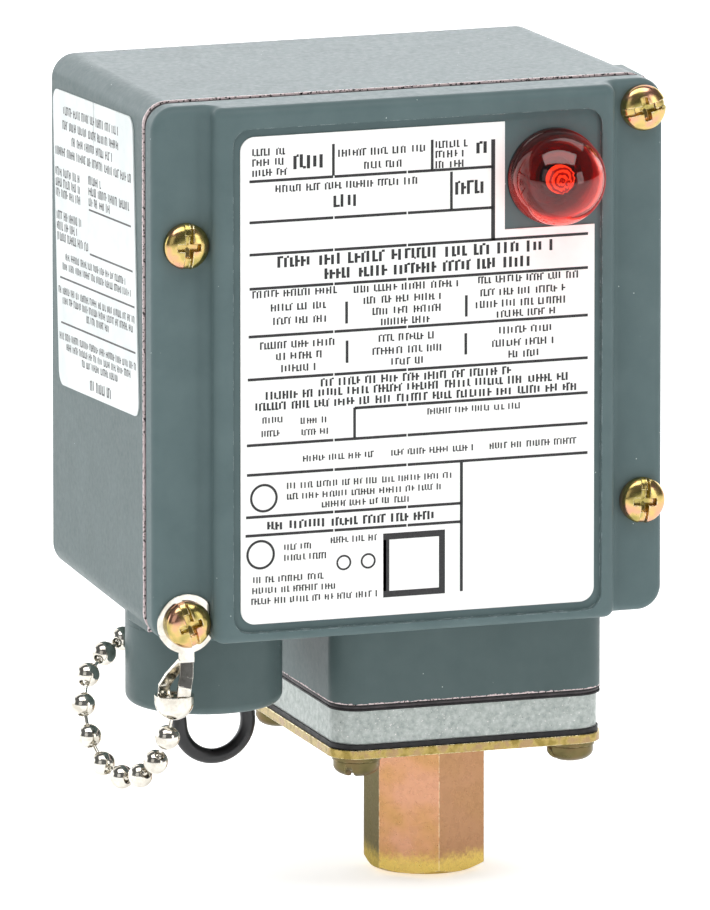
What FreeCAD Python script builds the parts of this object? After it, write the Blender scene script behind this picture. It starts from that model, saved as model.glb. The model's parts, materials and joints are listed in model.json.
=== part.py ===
"""Pressure switch in a cast enclosure with a pilot light, as a parametric FreeCAD document.

Millimetres, +Z up, the front cover faces -Y. The origin is the centre of the pressure port's mouth, on
the lower face of the hex fitting, and the pressure axis is the Z axis.
"""
import FreeCAD, Part
import math
import os
import re
import Sketcher
from FreeCAD import Placement, Rotation, Vector

SIZES = {
    # enclosure box: open to the front, tapering to the back
    "box_middle": -17.2, "box_bottom": 59, "box_front": -33.5, "box_width": 108, "box_height": 110,
    "box_depth": 66, "box_wall": 4, "box_corner": 5, "box_taper": 1.4, "boss_depth": 14, "boss_radius": 4,
    # conduit socket under the box
    "hub_x": -52.9, "hub_y": -16.5, "hub_radius": 16, "hub_bore": 10.5, "hub_drop": 17.7,
    "hub_spigot": 13,
    # neck and the clamped stack under it
    "flange_width": 58.2, "flange_depth": 62, "flange_corner": 6, "neck_drop": 17.9,
    "chamber_radius": 22, "seal_thick": 0.4, "diaphragm_thick": 0.5, "housing_thick": 7.1,
    "housing_inset": 0.6, "gasket_thick": 1.1, "plate_thick": 1.8, "bolt_x": 23, "bolt_y": 25,
    # hex fitting with the pressure port
    "hex_flats": 22.2, "hex_height": 29.8, "hex_turn": 25.4, "port_radius": 5.55, "port_depth": 15,
    "spigot_radius": 8, "spigot_height": 5.6, "passage_radius": 3,
    # cover: two side flanges and a raised panel with a label recess
    "cover_width": 108.8, "cover_flange": 5, "cover_gasket": 3, "cover_rise": 5, "panel_half": 42.75,
    "cover_wall": 3, "screw_head": 4.7, "tab_radius": 6.1, "recess_depth": 1,
    "recess_left": -56.3, "recess_right": 22.2, "recess_bottom": 61.1, "recess_top": 164.6,
    "label_left": -54.6, "label_right": 20.8, "label_bottom": 62.8, "label_top": 162.9,
    "label_notch_x": 1.6, "label_notch_z": 140.7, "label_thick": 0.3,
    "screw_left": -64.9, "screw_right": 32.4,
    "screw_left_low": 63.1, "screw_left_high": 140.7, "screw_right_low": 82.2, "screw_right_high": 163.3,
    # pilot light
    "lens_x": 12.1, "lens_z": 151.1, "lens_radius": 9.9, "lens_stand": 2.7, "lens_wall": 1.3,
    "barrel_radius": 6, "barrel_bore": 4.2, "barrel_length": 9.5,
    # screw sizes: major radius, tapped hole, clearance hole
    "shank": 2.35, "tapped": 2.4, "clearance": 2.6, "small_shank": 1.4, "small_hole": 1.45,
    # working parts inside
    "piston_radius": 19, "piston_thick": 2.35, "rod_radius": 4, "rod_top": 66.45, "guide_radius": 7,
    "pivot_x": -29.2, "pivot_z": 68, "pivot_radius": 2, "lever_half": 1.5, "lever_end": 27.5,
    "bracket_thick": 1.2,
    "frame_half_x": 12, "frame_half_y": 16, "frame_sheet": 2, "frame_top": 141,
    "spring_radius": 11, "spring_wire": 3, "spring_turns": 8, "spring_low": 71.5, "spring_high": 120,
    "range_radius": 3, "range_bottom": 104, "plunger_x": 24.8, "plunger_radius": 2,
    "switch_left": 14, "switch_right": 29.5, "switch_half": 17, "switch_low": 78, "switch_high": 112,
    "arm_pivot_y": 10, "arm_pivot_z": 93, "contact_y": -10,
    # cover retaining chain
    "bead_radius": 2.53, "bead_inner": 2.33, "bead_hole": 1.15, "bead_pitch": 6.75,
    "link_radius": 0.4, "link_head": 1.05, "head_offset": 1.13, "cup_radius": 4.05, "cup_wall": 0.7,
    # pull loop of the conduit plug
    "loop_half": 7.3, "loop_wire": 1.55, "loop_drop": 13.2, "loop_shift": 1.5, "loop_lean": 6,
}

doc = FreeCAD.newDocument("pressure_switch")
sheet = doc.addObject("Spreadsheet::Sheet", "dims")
for row, (alias, number) in enumerate(SIZES.items(), start=1):
    sheet.set("A%d" % row, alias)
    sheet.set("B%d" % row, str(number))
    sheet.setAlias("B%d" % row, alias)
doc.recompute()

ALIASES = re.compile(r"\b(%s)\b" % "|".join(sorted(SIZES, key=len, reverse=True)))
NODES = []

# world axis -> origin plane of a body and the way that plane's normal points along the axis
PLANES = {"X": ("YZ_Plane", 1), "Y": ("XZ_Plane", -1), "Z": ("XY_Plane", 1)}
# rotation that takes local +Z to each direction
TURNS = {
    "+Z": Rotation(),
    "-Z": Rotation(Vector(1, 0, 0), 180),
    "+Y": Rotation(Vector(1, 0, 0), -90),
    "-Y": Rotation(Vector(1, 0, 0), 90),
    "+X": Rotation(Vector(0, 1, 0), 90),
}


def size(name):
    """Number held by the sheet cell with this alias."""
    return float(sheet.get(name))


def bind(obj, prop, text):
    """Bind a property to a formula written in sheet aliases."""
    obj.setExpression(prop, ALIASES.sub(r"dims.\1", str(text)))


def place(obj, x=0, y=0, z=0, turn="+Z"):
    """Place an object by formulas, with its local +Z turned to a direction."""
    obj.Placement = Placement(Vector(), TURNS[turn] if isinstance(turn, str) else turn)
    for axis, text in zip("xyz", (x, y, z)):
        bind(obj, "Placement.Base." + axis, text)
    return obj


def node(obj, name):
    """Name a finished piece and list it for export."""
    obj.Label = name
    NODES.append(obj)
    return obj


# ---- PartDesign helpers -------------------------------------------------------------------------

def new_body(name):
    """Body that becomes the node of that name."""
    return node(doc.addObject("PartDesign::Body", name), name)


def sketch(body, axis, at):
    """Empty sketch square to a world axis, at a given place along it."""
    role, sign = PLANES[axis]
    made = body.newObject("Sketcher::SketchObject", body.Name + "_sketch")
    plane = [item for item in body.Origin.OriginFeatures if item.Role == role][0]
    made.AttachmentSupport = [(plane, "")]
    made.MapMode = "FlatFace"
    bind(made, "AttachmentOffset.Base.z", "%d * (%s)" % (sign, at))
    return made


def fix_point(made, geometry, point, x, y):
    """Hold a sketch point at a place given by two formulas."""
    for kind, text in (("DistanceX", x), ("DistanceY", y)):
        number = made.addConstraint(Sketcher.Constraint(kind, geometry, point, 1.0))
        bind(made, "Constraints[%d]" % number, text)


def outline(made, points):
    """Closed outline of straight lines through points given by formulas."""
    first = made.GeometryCount
    count = len(points)
    around = [Vector(math.cos(2 * math.pi * i / count), math.sin(2 * math.pi * i / count), 0)
              for i in range(count)]
    for i in range(count):
        made.addGeometry(Part.LineSegment(around[i], around[(i + 1) % count]))
    for i in range(count):
        made.addConstraint(Sketcher.Constraint("Coincident", first + i, 2, first + (i + 1) % count, 1))
    for i, (x, y) in enumerate(points):
        fix_point(made, first + i, 1, x, y)


def rectangle(made, left, right, low, high):
    """Closed rectangle between four formulas."""
    outline(made, [(left, low), (right, low), (right, high), (left, high)])


def circle(made, x, y, radius):
    """Circle at a place and of a radius given by formulas."""
    number = made.addGeometry(Part.Circle(Vector(), Vector(0, 0, 1), 1.0))
    fix_point(made, number, 3, x, y)
    held = made.addConstraint(Sketcher.Constraint("Radius", number, 1.0))
    bind(made, "Constraints[%d]" % held, radius)


def extrude(body, cut, made, length, forward=True, taper=None):
    """Pad or pocket a sketch along its world axis, towards + when forward is true."""
    role = made.AttachmentSupport[0][0].Role
    sign = [item[1] for item in PLANES.values() if item[0] == role][0]
    kind = "Pocket" if cut else "Pad"
    feature = body.newObject("PartDesign::" + kind, body.Name + "_" + kind)
    feature.Profile = made
    bind(feature, "Length", length)
    natural = -sign if cut else sign
    feature.Reversed = (natural > 0) != forward
    if taper:
        bind(feature, "TaperAngle", taper)
    before = body.Shape.Volume if cut else 0
    doc.recompute()
    if cut and not body.Shape.Volume < before - 1e-6:
        raise RuntimeError(body.Name + ": a pocket cut nothing")
    return feature


def pad(body, made, length, forward=True, taper=None):
    """Add material from a sketch."""
    return extrude(body, False, made, length, forward, taper)


def pocket(body, made, length, forward=True, taper=None):
    """Remove material from a sketch."""
    return extrude(body, True, made, length, forward, taper)


def soften(body, radius, wanted, kind="Fillet"):
    """Round or chamfer the edges of a body that a test picks."""
    names = ["Edge%d" % (i + 1) for i, edge in enumerate(body.Shape.Edges) if wanted(edge)]
    if not names:
        raise RuntimeError(body.Name + ": no edge to " + kind.lower())
    base = body.Tip
    feature = body.newObject("PartDesign::" + kind, body.Name + "_" + kind)
    feature.Base = (base, names)
    bind(feature, "Radius" if kind == "Fillet" else "Size", radius)
    doc.recompute()
    if "Invalid" in feature.State:
        raise RuntimeError("%s: no %s of %s" % (body.Name, kind.lower(), radius))


def turned(name, profile, exported=True):
    """Body turned about its own Z axis from an outline of (radius, height) formulas."""
    body = new_body(name) if exported else doc.addObject("PartDesign::Body", name)
    made = sketch(body, "Y", 0)
    outline(made, profile)
    feature = body.newObject("PartDesign::Revolution", name + "_Revolution")
    feature.Profile = made
    feature.ReferenceAxis = (made, ["V_Axis"])
    feature.Angle = 360
    doc.recompute()
    return body


def runs_along(axis):
    """Test for straight edges along a unit vector."""
    def test(edge):
        straight = edge.Curve.TypeId == "Part::GeomLine"
        return straight and abs(abs(edge.tangentAt(edge.FirstParameter).dot(axis)) - 1) < 0.01
    return test


def lies_at(axis, at):
    """Test for edges that lie wholly at one place along a world axis."""
    index = "XYZ".index(axis)

    def test(edge):
        low, high = [(edge.BoundBox.XMin, edge.BoundBox.XMax), (edge.BoundBox.YMin, edge.BoundBox.YMax),
                     (edge.BoundBox.ZMin, edge.BoundBox.ZMax)][index]
        return abs(low - at) < 0.01 and abs(high - at) < 0.01
    return test


# ---- Part helpers -------------------------------------------------------------------------------

def block(x, y, z, length, width, height):
    """Box from its lowest corner."""
    made = doc.addObject("Part::Box", "block")
    for prop, text in (("Length", length), ("Width", width), ("Height", height)):
        bind(made, prop, text)
    return place(made, x, y, z)


def rod(x, y, z, radius, length, turn="+Z"):
    """Cylinder from a point along a direction."""
    made = doc.addObject("Part::Cylinder", "rod")
    bind(made, "Radius", radius)
    bind(made, "Height", length)
    return place(made, x, y, z, turn)


def ball(x, y, z, radius, low=-90, turn="+Z"):
    """Sphere, or its part above a latitude."""
    made = doc.addObject("Part::Sphere", "ball")
    bind(made, "Radius", radius)
    made.Angle1 = low
    return place(made, x, y, z, turn)


def join(*pieces):
    """Fuse pieces into one."""
    made = doc.addObject("Part::MultiFuse", "join")
    made.Shapes = list(pieces)
    made.Refine = True
    return made


def cut(base, *tools):
    """Cut tools from a base."""
    made = doc.addObject("Part::Cut", "cut")
    made.Base = base
    made.Tool = tools[0] if len(tools) == 1 else join(*tools)
    return made


def group(name, pieces):
    """One node of several separate solids."""
    made = doc.addObject("Part::Compound", name)
    made.Links = list(pieces)
    return node(made, name)


def copies(name, master, places):
    """One node of copies of a master piece, each at (x, y, z, direction, turn about its axis)."""
    links = []
    for x, y, z, turn, spin in places:
        link = doc.addObject("App::Link", name + "_copy")
        link.LinkedObject = master
        link.Placement = Placement(Vector(), TURNS[turn] * Rotation(Vector(0, 0, 1), spin))
        for axis, text in zip("xyz", (x, y, z)):
            bind(link, "Placement.Base." + axis, text)
        links.append(link)
    return group(name, links)


def shaped(name, shape):
    """Node whose shape is computed."""
    made = doc.addObject("Part::Feature", name)
    made.Shape = shape
    return node(made, name)


# ---- fasteners ----------------------------------------------------------------------------------

def pan_screw(name, head, rise, shank, length, slot):
    """Pan head screw along local Z: head above 0 with a slot and a cross recess, shank below 0."""
    body = turned(name, [(0, "-(%s)" % length), (shank, "-(%s)" % length), (shank, 0), (head, 0),
                         (head, rise), (0, rise)], exported=False)
    soften(body, "%s * 0.55" % rise, lies_at("Z", rise))
    made = sketch(body, "Z", rise)
    rectangle(made, "-(%s)" % head, head, -slot / 2, slot / 2)
    pocket(body, made, rise * 0.4, forward=False)
    made = sketch(body, "Z", rise)
    rectangle(made, -slot / 2, slot / 2, "-(%s) * 0.52" % head, "(%s) * 0.52" % head)
    pocket(body, made, rise * 0.55, forward=False)
    return body


# ---- enclosure ----------------------------------------------------------------------------------

NECK_Z = "box_bottom - neck_drop"
HOUSING_TOP = "(box_bottom - neck_drop - 2 * seal_thick - diaphragm_thick)"
HOUSING_LOW = "(box_bottom - neck_drop - 2 * seal_thick - diaphragm_thick - housing_thick)"
GASKET_LOW = "(plate_thick + hex_height)"
COVER_BACK = "(box_front - cover_gasket)"
FLANGE_FACE = "(box_front - cover_gasket - cover_flange)"
PANEL_FACE = "(box_front - cover_gasket - cover_flange - cover_rise)"
RECESS_FLOOR = "(box_front - cover_gasket - cover_flange - cover_rise + recess_depth)"
BACK = "(box_front + box_depth)"
FLOOR = "(box_bottom + box_wall)"
COVER_SCREWS = [("screw_left", "screw_left_low", 108), ("screw_left", "screw_left_high", 88),
                ("screw_right", "screw_right_low", 86), ("screw_right", "screw_right_high", 12)]
BOLTS = [(i, j) for i in (-1, 1) for j in (-1, 1)]
BACK_BOSSES = [("box_middle", 79), ("box_middle", 149), (-48, 90)]
ANCHOR = (-47, 9.5)
FRAME_SCREWS = [(i * 7, j * 21.5) for i in (-1, 1) for j in (-1, 1)]
BRACKET_SCREWS = [(-25, -17), (-25, 17)]


def make_enclosure():
    """Cast box with a seat for the conduit socket, neck, screw bosses and tapped holes."""
    body = new_body("enclosure_body")
    made = sketch(body, "Y", "box_front")
    rectangle(made, "box_middle - box_width / 2", "box_middle + box_width / 2", "box_bottom",
              "box_bottom + box_height")
    pad(body, made, "box_depth", taper="-box_taper")
    back = size("box_front") + size("box_depth")
    soften(body, "box_corner", lambda edge: edge.BoundBox.YLength > 60)
    soften(body, 1.2, lies_at("Y", back))
    made = sketch(body, "Y", "box_front")
    rectangle(made, "box_middle - box_width / 2 + box_wall", "box_middle + box_width / 2 - box_wall",
              FLOOR, "box_bottom + box_height - box_wall")
    pocket(body, made, "box_depth - box_wall")
    made = sketch(body, "Y", "box_front")
    for x, z, _ in COVER_SCREWS:
        inner = ("box_middle - box_width / 2 + 1", x + " + boss_radius")
        if x == "screw_right":
            inner = (x + " - boss_radius", "box_middle + box_width / 2 - 1")
        low = z + " - boss_radius" if z != "screw_left_low" else "box_bottom + 1"
        high = z + " + boss_radius" if z != "screw_right_high" else "box_bottom + box_height - 1"
        rectangle(made, inner[0], inner[1], low, high)
    pad(body, made, "boss_depth")
    made = sketch(body, "Y", BACK + " - 1")
    for x, z in BACK_BOSSES:
        circle(made, x, z, 5)
    pad(body, made, 7, forward=False)
    made = sketch(body, "Z", "box_bottom + 2")
    rectangle(made, "-flange_width / 2", "flange_width / 2", "-flange_depth / 2", "flange_depth / 2")
    pad(body, made, "neck_drop + 2", forward=False)
    low = size("box_bottom") - size("neck_drop")
    soften(body, "flange_corner", lambda edge: runs_along(Vector(0, 0, 1))(edge)
           and abs(edge.BoundBox.ZMin - low) < 0.01)
    made = sketch(body, "Z", "box_bottom + 2")
    circle(made, "hub_x", "hub_y", "hub_radius")
    pad(body, made, 3, forward=False)
    made = sketch(body, "Z", "box_bottom")
    circle(made, ANCHOR[0], ANCHOR[1], 5.5)
    pad(body, made, 8)
    holes = [("hub_x", "hub_y", "hub_spigot", "box_bottom - 1", "box_wall + 2"),
             (0, 0, "chamber_radius", NECK_Z, 5.4),
             (0, 0, "guide_radius + 0.02", NECK_Z, "neck_drop + box_wall + 1"),
             (ANCHOR[0], ANCHOR[1], "small_hole", "box_bottom", 6.5)]
    holes += [("%d * bolt_x" % i, "%d * bolt_y" % j, "tapped", NECK_Z, 13) for i, j in BOLTS]
    for x, y, radius, start, length in holes:
        made = sketch(body, "Z", start)
        circle(made, x, y, radius)
        pocket(body, made, length)
    for x, y in FRAME_SCREWS + BRACKET_SCREWS:
        made = sketch(body, "Z", FLOOR)
        circle(made, x, y, "small_hole")
        pocket(body, made, 7, forward=False)
    for x, z, _ in COVER_SCREWS:
        made = sketch(body, "Y", "box_front")
        circle(made, x, z, "tapped")
        pocket(body, made, "boss_depth - 1.5")
    for x, z in BACK_BOSSES[:2]:
        made = sketch(body, "Y", BACK)
        circle(made, x, z, 2.55)
        pocket(body, made, 6.5, forward=False)
    made = sketch(body, "Y", BACK + " - 8")
    circle(made, BACK_BOSSES[2][0], BACK_BOSSES[2][1], 2.05)
    pocket(body, made, 6.5)


def make_conduit_socket():
    """Round socket that takes the conduit, its spigot filling a hole in the box's floor."""
    body = new_body("conduit_socket")
    made = sketch(body, "Z", "box_bottom - 1")
    circle(made, "hub_x", "hub_y", "hub_radius")
    pad(body, made, "hub_drop - 1", forward=False)
    soften(body, 2, lies_at("Z", size("box_bottom") - size("hub_drop")))
    made = sketch(body, "Z", "box_bottom - 1")
    circle(made, "hub_x", "hub_y", "hub_spigot")
    pad(body, made, "box_wall + 1")
    made = sketch(body, "Z", "box_bottom - hub_drop")
    circle(made, "hub_x", "hub_y", "hub_bore")
    pocket(body, made, "hub_drop + box_wall")


def make_cover():
    """Cover casting, its gasket and its screws."""
    body = new_body("cover_gasket")
    made = sketch(body, "Y", COVER_BACK)
    rectangle(made, "box_middle - box_width / 2 + 0.4", "box_middle + box_width / 2 - 0.4",
              "box_bottom + 0.4", "box_bottom + box_height - 0.4")
    rectangle(made, "box_middle - panel_half + cover_wall", "box_middle + panel_half - cover_wall",
              FLOOR, "box_bottom + box_height - box_wall")
    for x, z, _ in COVER_SCREWS:
        circle(made, x, z, "clearance")
    pad(body, made, "cover_gasket")
    soften(body, 4.6, lambda edge: runs_along(Vector(0, 1, 0))(edge)
           and (abs(edge.CenterOfMass.x - size("box_middle")) > 50))

    body = new_body("front_cover")
    back_y = size("box_front") - size("cover_gasket")
    flange_y = back_y - size("cover_flange")
    panel_y = flange_y - size("cover_rise")
    made = sketch(body, "Y", COVER_BACK)
    rectangle(made, "box_middle - cover_width / 2", "box_middle + cover_width / 2", "box_bottom",
              "box_bottom + box_height")
    pad(body, made, "cover_flange", forward=False)
    soften(body, "box_corner", runs_along(Vector(0, 1, 0)))
    made = sketch(body, "Y", COVER_BACK)
    rectangle(made, "box_middle - panel_half", "box_middle + panel_half", "box_bottom",
              "box_bottom + box_height")
    pad(body, made, "cover_flange + cover_rise", forward=False)
    soften(body, 2, lambda edge: runs_along(Vector(0, 0, 1))(edge)
           and abs(abs(edge.CenterOfMass.x - size("box_middle")) - size("panel_half")) < 0.01
           and abs(edge.CenterOfMass.y - flange_y) < 0.01)
    soften(body, 2.6, lambda edge: runs_along(Vector(0, 0, 1))(edge)
           and abs(edge.CenterOfMass.y - panel_y) < 0.01)
    low = size("box_bottom")
    soften(body, 2, lambda edge: edge.BoundBox.YMax < back_y - 0.01
           and (lies_at("Z", low)(edge) or lies_at("Z", low + size("box_height"))(edge)))
    made = sketch(body, "Y", PANEL_FACE)
    rectangle(made, "recess_left", "recess_right", "recess_bottom", "recess_top")
    pocket(body, made, "recess_depth")
    soften(body, 3.5, lambda edge: runs_along(Vector(0, 1, 0))(edge)
           and edge.Length < size("recess_depth") + 0.01)
    made = sketch(body, "Y", COVER_BACK)
    rectangle(made, "box_middle - panel_half + cover_wall", "box_middle + panel_half - cover_wall",
              FLOOR, "box_bottom + box_height - box_wall")
    pocket(body, made, "cover_flange + cover_rise - cover_wall", forward=False)
    made = sketch(body, "Y", COVER_BACK)
    for x, z, _ in COVER_SCREWS:
        circle(made, x, z, "clearance")
    pocket(body, made, "cover_flange", forward=False)
    made = sketch(body, "Y", FLANGE_FACE)
    for x, z, _ in COVER_SCREWS:
        circle(made, x, z, "screw_head + 0.15")
    pocket(body, made, "cover_rise - 1", forward=False)
    made = sketch(body, "Y", FLANGE_FACE)
    circle(made, "screw_left", "screw_left_low", "tab_radius + 0.15")
    pocket(body, made, 1.2, forward=False)
    made = sketch(body, "Y", COVER_BACK)
    circle(made, "lens_x", "lens_z", "barrel_radius + 0.05")
    pocket(body, made, "cover_flange + cover_rise", forward=False)

    screw = pan_screw("cover_screw", "screw_head", 3.1, "shank", 17, 1.25)
    seats = []
    for x, z, spin in COVER_SCREWS:
        stand = " - 0.8" if z == "screw_left_low" else ""
        seats.append((x, FLANGE_FACE + stand, z, "-Y", spin))
    copies("cover_screws", screw, seats)


def make_labels():
    """Plain plates stuck on the panel and on the left side."""
    body = new_body("front_label")
    made = sketch(body, "Y", RECESS_FLOOR)
    outline(made, [("label_left", "label_bottom"), ("label_right", "label_bottom"),
                   ("label_right", "label_notch_z"), ("label_notch_x", "label_notch_z"),
                   ("label_notch_x", "label_top"), ("label_left", "label_top")])
    pad(body, made, "label_thick", forward=False)
    soften(body, 3, lambda edge: runs_along(Vector(0, 1, 0))(edge)
           and (edge.CenterOfMass.x < size("label_notch_x") - 1
                or edge.CenterOfMass.z < size("label_notch_z") - 1))

    body = new_body("side_label")
    made = sketch(body, "X", 0)
    rectangle(made, -28.5, 28.5, -30.5, 30.5)
    pad(body, made, 0.25, forward=False)
    soften(body, 3, runs_along(Vector(1, 0, 0)))
    lean = Rotation(Vector(0, 0, 1), -size("box_taper")) * Rotation(Vector(1, 0, 0), -3.9)
    middle = 33
    place(body, "box_middle - box_width / 2 + %d * tan(box_taper) - 0.01" % middle,
          "box_front + %d" % middle, "box_bottom + box_height / 2 + 18.3", lean)


def make_pilot_light():
    """Lens, gasket, nut, lamp holder, neon lamp and its two leads."""
    seat = "(%s - seal_thick)" % RECESS_FLOOR
    dome = "(%s - lens_stand)" % seat
    outside = join(ball("lens_x", dome, "lens_z", "lens_radius", 0, "-Y"),
                   rod("lens_x", seat, "lens_z", "lens_radius", "lens_stand", "-Y"),
                   rod("lens_x", seat, "lens_z", "barrel_radius", "barrel_length", "+Y"))
    hollow = join(ball("lens_x", dome, "lens_z", "lens_radius - lens_wall", 0, "-Y"),
                  rod("lens_x", seat + " - 1", "lens_z", "lens_radius - lens_wall", "lens_stand - 1",
                      "-Y"),
                  rod("lens_x", seat + " - 2", "lens_z", "barrel_bore", "barrel_length + 2", "+Y"))
    node(cut(outside, hollow), "pilot_lens")

    ring = turned("lens_gasket", [("barrel_radius + 0.05", 0), ("lens_radius", 0),
                                  ("lens_radius", "seal_thick"), ("barrel_radius + 0.05", "seal_thick")])
    place(ring, "lens_x", RECESS_FLOOR, "lens_z", "-Y")

    body = new_body("lens_nut")
    made = sketch(body, "Z", 0)
    outline(made, [("9.2 * cos(%d)" % angle, "9.2 * sin(%d)" % angle) for angle in range(0, 360, 60)])
    circle(made, 0, 0, "barrel_radius + 0.05")
    pad(body, made, 2.6)
    place(body, "lens_x", PANEL_FACE + " + cover_wall", "lens_z", "+Y")

    holder = turned("lamp_holder", [(0, 4), (3, 4), (3, 15.9), ("barrel_bore - 0.05", 15.9),
                                    ("barrel_bore - 0.05", 6.5), (6.4, 6.5), (6.4, 3.5), (5, 0), (0, 0)])
    place(holder, "lens_x", seat + " + barrel_length + 6.6", "lens_z", "-Y")
    lamp = turned("neon_lamp", [(0, 0), (2.85, 0), (2.85, 14), (1.6, 16.2), (0.5, 17), (0, 17)])
    place(lamp, "lens_x", seat + " + barrel_length + 2.6", "lens_z", "-Y")

    start = size("box_front") + 3.7
    x = size("lens_x")
    z = size("lens_z")
    routes = [[(x - 2, start, z), (x - 2, start + 5, z), (x - 1, start + 7, z - 5),
               (x + 2, start + 6, z - 16), (x + 6, start + 4, z - 28), (20.5, -17.9, 119),
               (20.5, -17.9, 110.03)],
              [(x + 2, start, z), (x + 2, start + 4, z), (x + 2.6, start + 8, z - 5),
               (x + 2.6, start + 9.5, z - 18), (15.6, -19.5, 122), (15.2, -18.9, 107),
               (16.6, -19.2, 100.7), (20.5, -17.9, 100.7), (20.5, -17.9, 98.53)]]
    group("lamp_leads", [lead(route, 0.75) for route in routes])


def lead(route, radius):
    """Round wire along straight runs joined by tangent arcs."""
    made = doc.addObject("Part::Feature", "lead")
    made.Shape = tube([Vector(*point) for point in route], radius)
    return made


def tube(points, radius):
    """Solid round tube along a route, its corners rounded as far as the runs allow."""
    edges = []
    start = points[0]
    for before, corner, after in zip(points, points[1:], points[2:]):
        back = before - corner
        ahead = after - corner
        reach = 0.45 * min(back.Length, ahead.Length)
        back.normalize()
        ahead.normalize()
        first = corner + back * reach
        last = corner + ahead * reach
        turn = math.pi - back.getAngle(ahead)
        bend = reach / math.tan(turn / 2)
        inward = (back + ahead).normalize()
        middle = corner + inward * (bend / math.cos(turn / 2) - bend)
        edges.append(Part.LineSegment(start, first).toShape())
        edges.append(Part.Arc(first, middle, last).toShape())
        start = last
    edges.append(Part.LineSegment(start, points[-1]).toShape())
    wire = Part.Wire(edges)
    ring = Part.Wire(Part.Circle(points[0], points[1] - points[0], radius).toShape())
    solid = wire.makePipeShell([ring], True, False)
    expected = math.pi * radius ** 2 * wire.Length
    if abs(solid.Volume / expected - 1) > 0.03:
        raise RuntimeError("a tube's volume is off: %.3f" % (solid.Volume / expected))
    return solid


# ---- pressure side ------------------------------------------------------------------------------

def flange_sheet(name, low, thick, inset, hole):
    """Flat sheet of the flange outline with four bolt holes and a round opening."""
    body = new_body(name)
    made = sketch(body, "Z", low)
    rectangle(made, "-flange_width / 2 + %s" % inset, "flange_width / 2 - %s" % inset,
              "-flange_depth / 2 + %s" % inset, "flange_depth / 2 - %s" % inset)
    for i, j in BOLTS:
        circle(made, "%d * bolt_x" % i, "%d * bolt_y" % j, "clearance")
    if hole:
        circle(made, 0, 0, hole)
    pad(body, made, thick)
    soften(body, "flange_corner", lambda edge: runs_along(Vector(0, 0, 1))(edge)
           and abs(edge.CenterOfMass.x) > size("bolt_x") + 3)
    return body


def make_pressure_stack():
    """Diaphragm and its gaskets, housing, flange plate, hex fitting and screws."""
    flange_sheet("upper_diaphragm_gasket", NECK_Z + " - seal_thick", "seal_thick", 0, "chamber_radius")
    body = flange_sheet("diaphragm", NECK_Z + " - seal_thick - diaphragm_thick", "diaphragm_thick", 0.2,
                        "chamber_radius - 1")
    made = sketch(body, "Y", 0)
    high = "(%s - seal_thick)" % NECK_Z
    wave = [(0, 0), (13, 0), (14.5, 1.2), (17, 1.2), (18.5, 0), (21.5, 0)]
    upper = [(r, "%s - %s" % (high, drop)) for r, drop in wave]
    lower = [(r, "%s - %s - diaphragm_thick" % (high, drop)) for r, drop in wave]
    outline(made, upper + lower[::-1])
    feature = body.newObject("PartDesign::Revolution", "diaphragm_Revolution")
    feature.Profile = made
    feature.ReferenceAxis = (made, ["V_Axis"])
    feature.Angle = 360
    doc.recompute()
    flange_sheet("lower_diaphragm_gasket", HOUSING_TOP, "seal_thick", 0, "chamber_radius")

    body = flange_sheet("pressure_housing", HOUSING_LOW, "housing_thick", "housing_inset", None)
    made = sketch(body, "Z", HOUSING_TOP)
    circle(made, 0, 0, "chamber_radius")
    pocket(body, made, 3.2, forward=False)
    made = sketch(body, "Z", HOUSING_LOW)
    circle(made, 0, 0, "spigot_radius + 0.05")
    pocket(body, made, 2.8)
    made = sketch(body, "Z", HOUSING_LOW)
    circle(made, 0, 0, "passage_radius")
    pocket(body, made, "housing_thick")

    flange_sheet("flange_gasket", GASKET_LOW, "gasket_thick", 0.3, "spigot_radius + 0.05")
    flange_sheet("flange_plate", "hex_height", "plate_thick", 0, "spigot_radius + 0.05")

    body = new_body("hex_fitting")
    made = sketch(body, "Z", 0)
    corner = "hex_flats / 2 / cos(30)"
    outline(made, [("%s * cos(%d)" % (corner, angle), "%s * sin(%d)" % (corner, angle))
                   for angle in range(0, 360, 60)])
    pad(body, made, "hex_height")
    for end, sign in ((0, "+"), ("hex_height", "-")):
        made = sketch(body, "Y", 0)
        outline(made, [("hex_flats / 2 - 0.3", end), ("hex_flats", end),
                       ("hex_flats", "%s %s (hex_flats / 2 + 0.3) * tan(27)" % (end, sign))])
        feature = body.newObject("PartDesign::Groove", "hex_fitting_Groove")
        feature.Profile = made
        feature.ReferenceAxis = (made, ["V_Axis"])
        feature.Angle = 360
        doc.recompute()
    made = sketch(body, "Z", "hex_height")
    circle(made, 0, 0, "spigot_radius")
    pad(body, made, "spigot_height - 0.1")
    for radius, length in (("port_radius", "port_depth"), ("passage_radius",
                                                            "hex_height + spigot_height")):
        made = sketch(body, "Z", 0)
        circle(made, 0, 0, radius)
        pocket(body, made, length)
    place(body, turn=Rotation(Vector(0, 0, 1), size("hex_turn")))

    washer = turned("flange_washer", [("clearance", 0), (5, 0), (5, 1), ("clearance", 1)],
                    exported=False)
    copies("flange_washers", washer, [("%d * bolt_x" % i, "%d * bolt_y" % j, "hex_height", "-Z", 0)
                                      for i, j in BOLTS])
    screw = pan_screw("flange_screw", 4.75, 3.4, "shank", 23, 1.25)
    copies("flange_screws", screw, [("%d * bolt_x" % i, "%d * bolt_y" % j, "hex_height - 1", "-Z",
                                     20 * i + 31 * j) for i, j in BOLTS])


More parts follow.
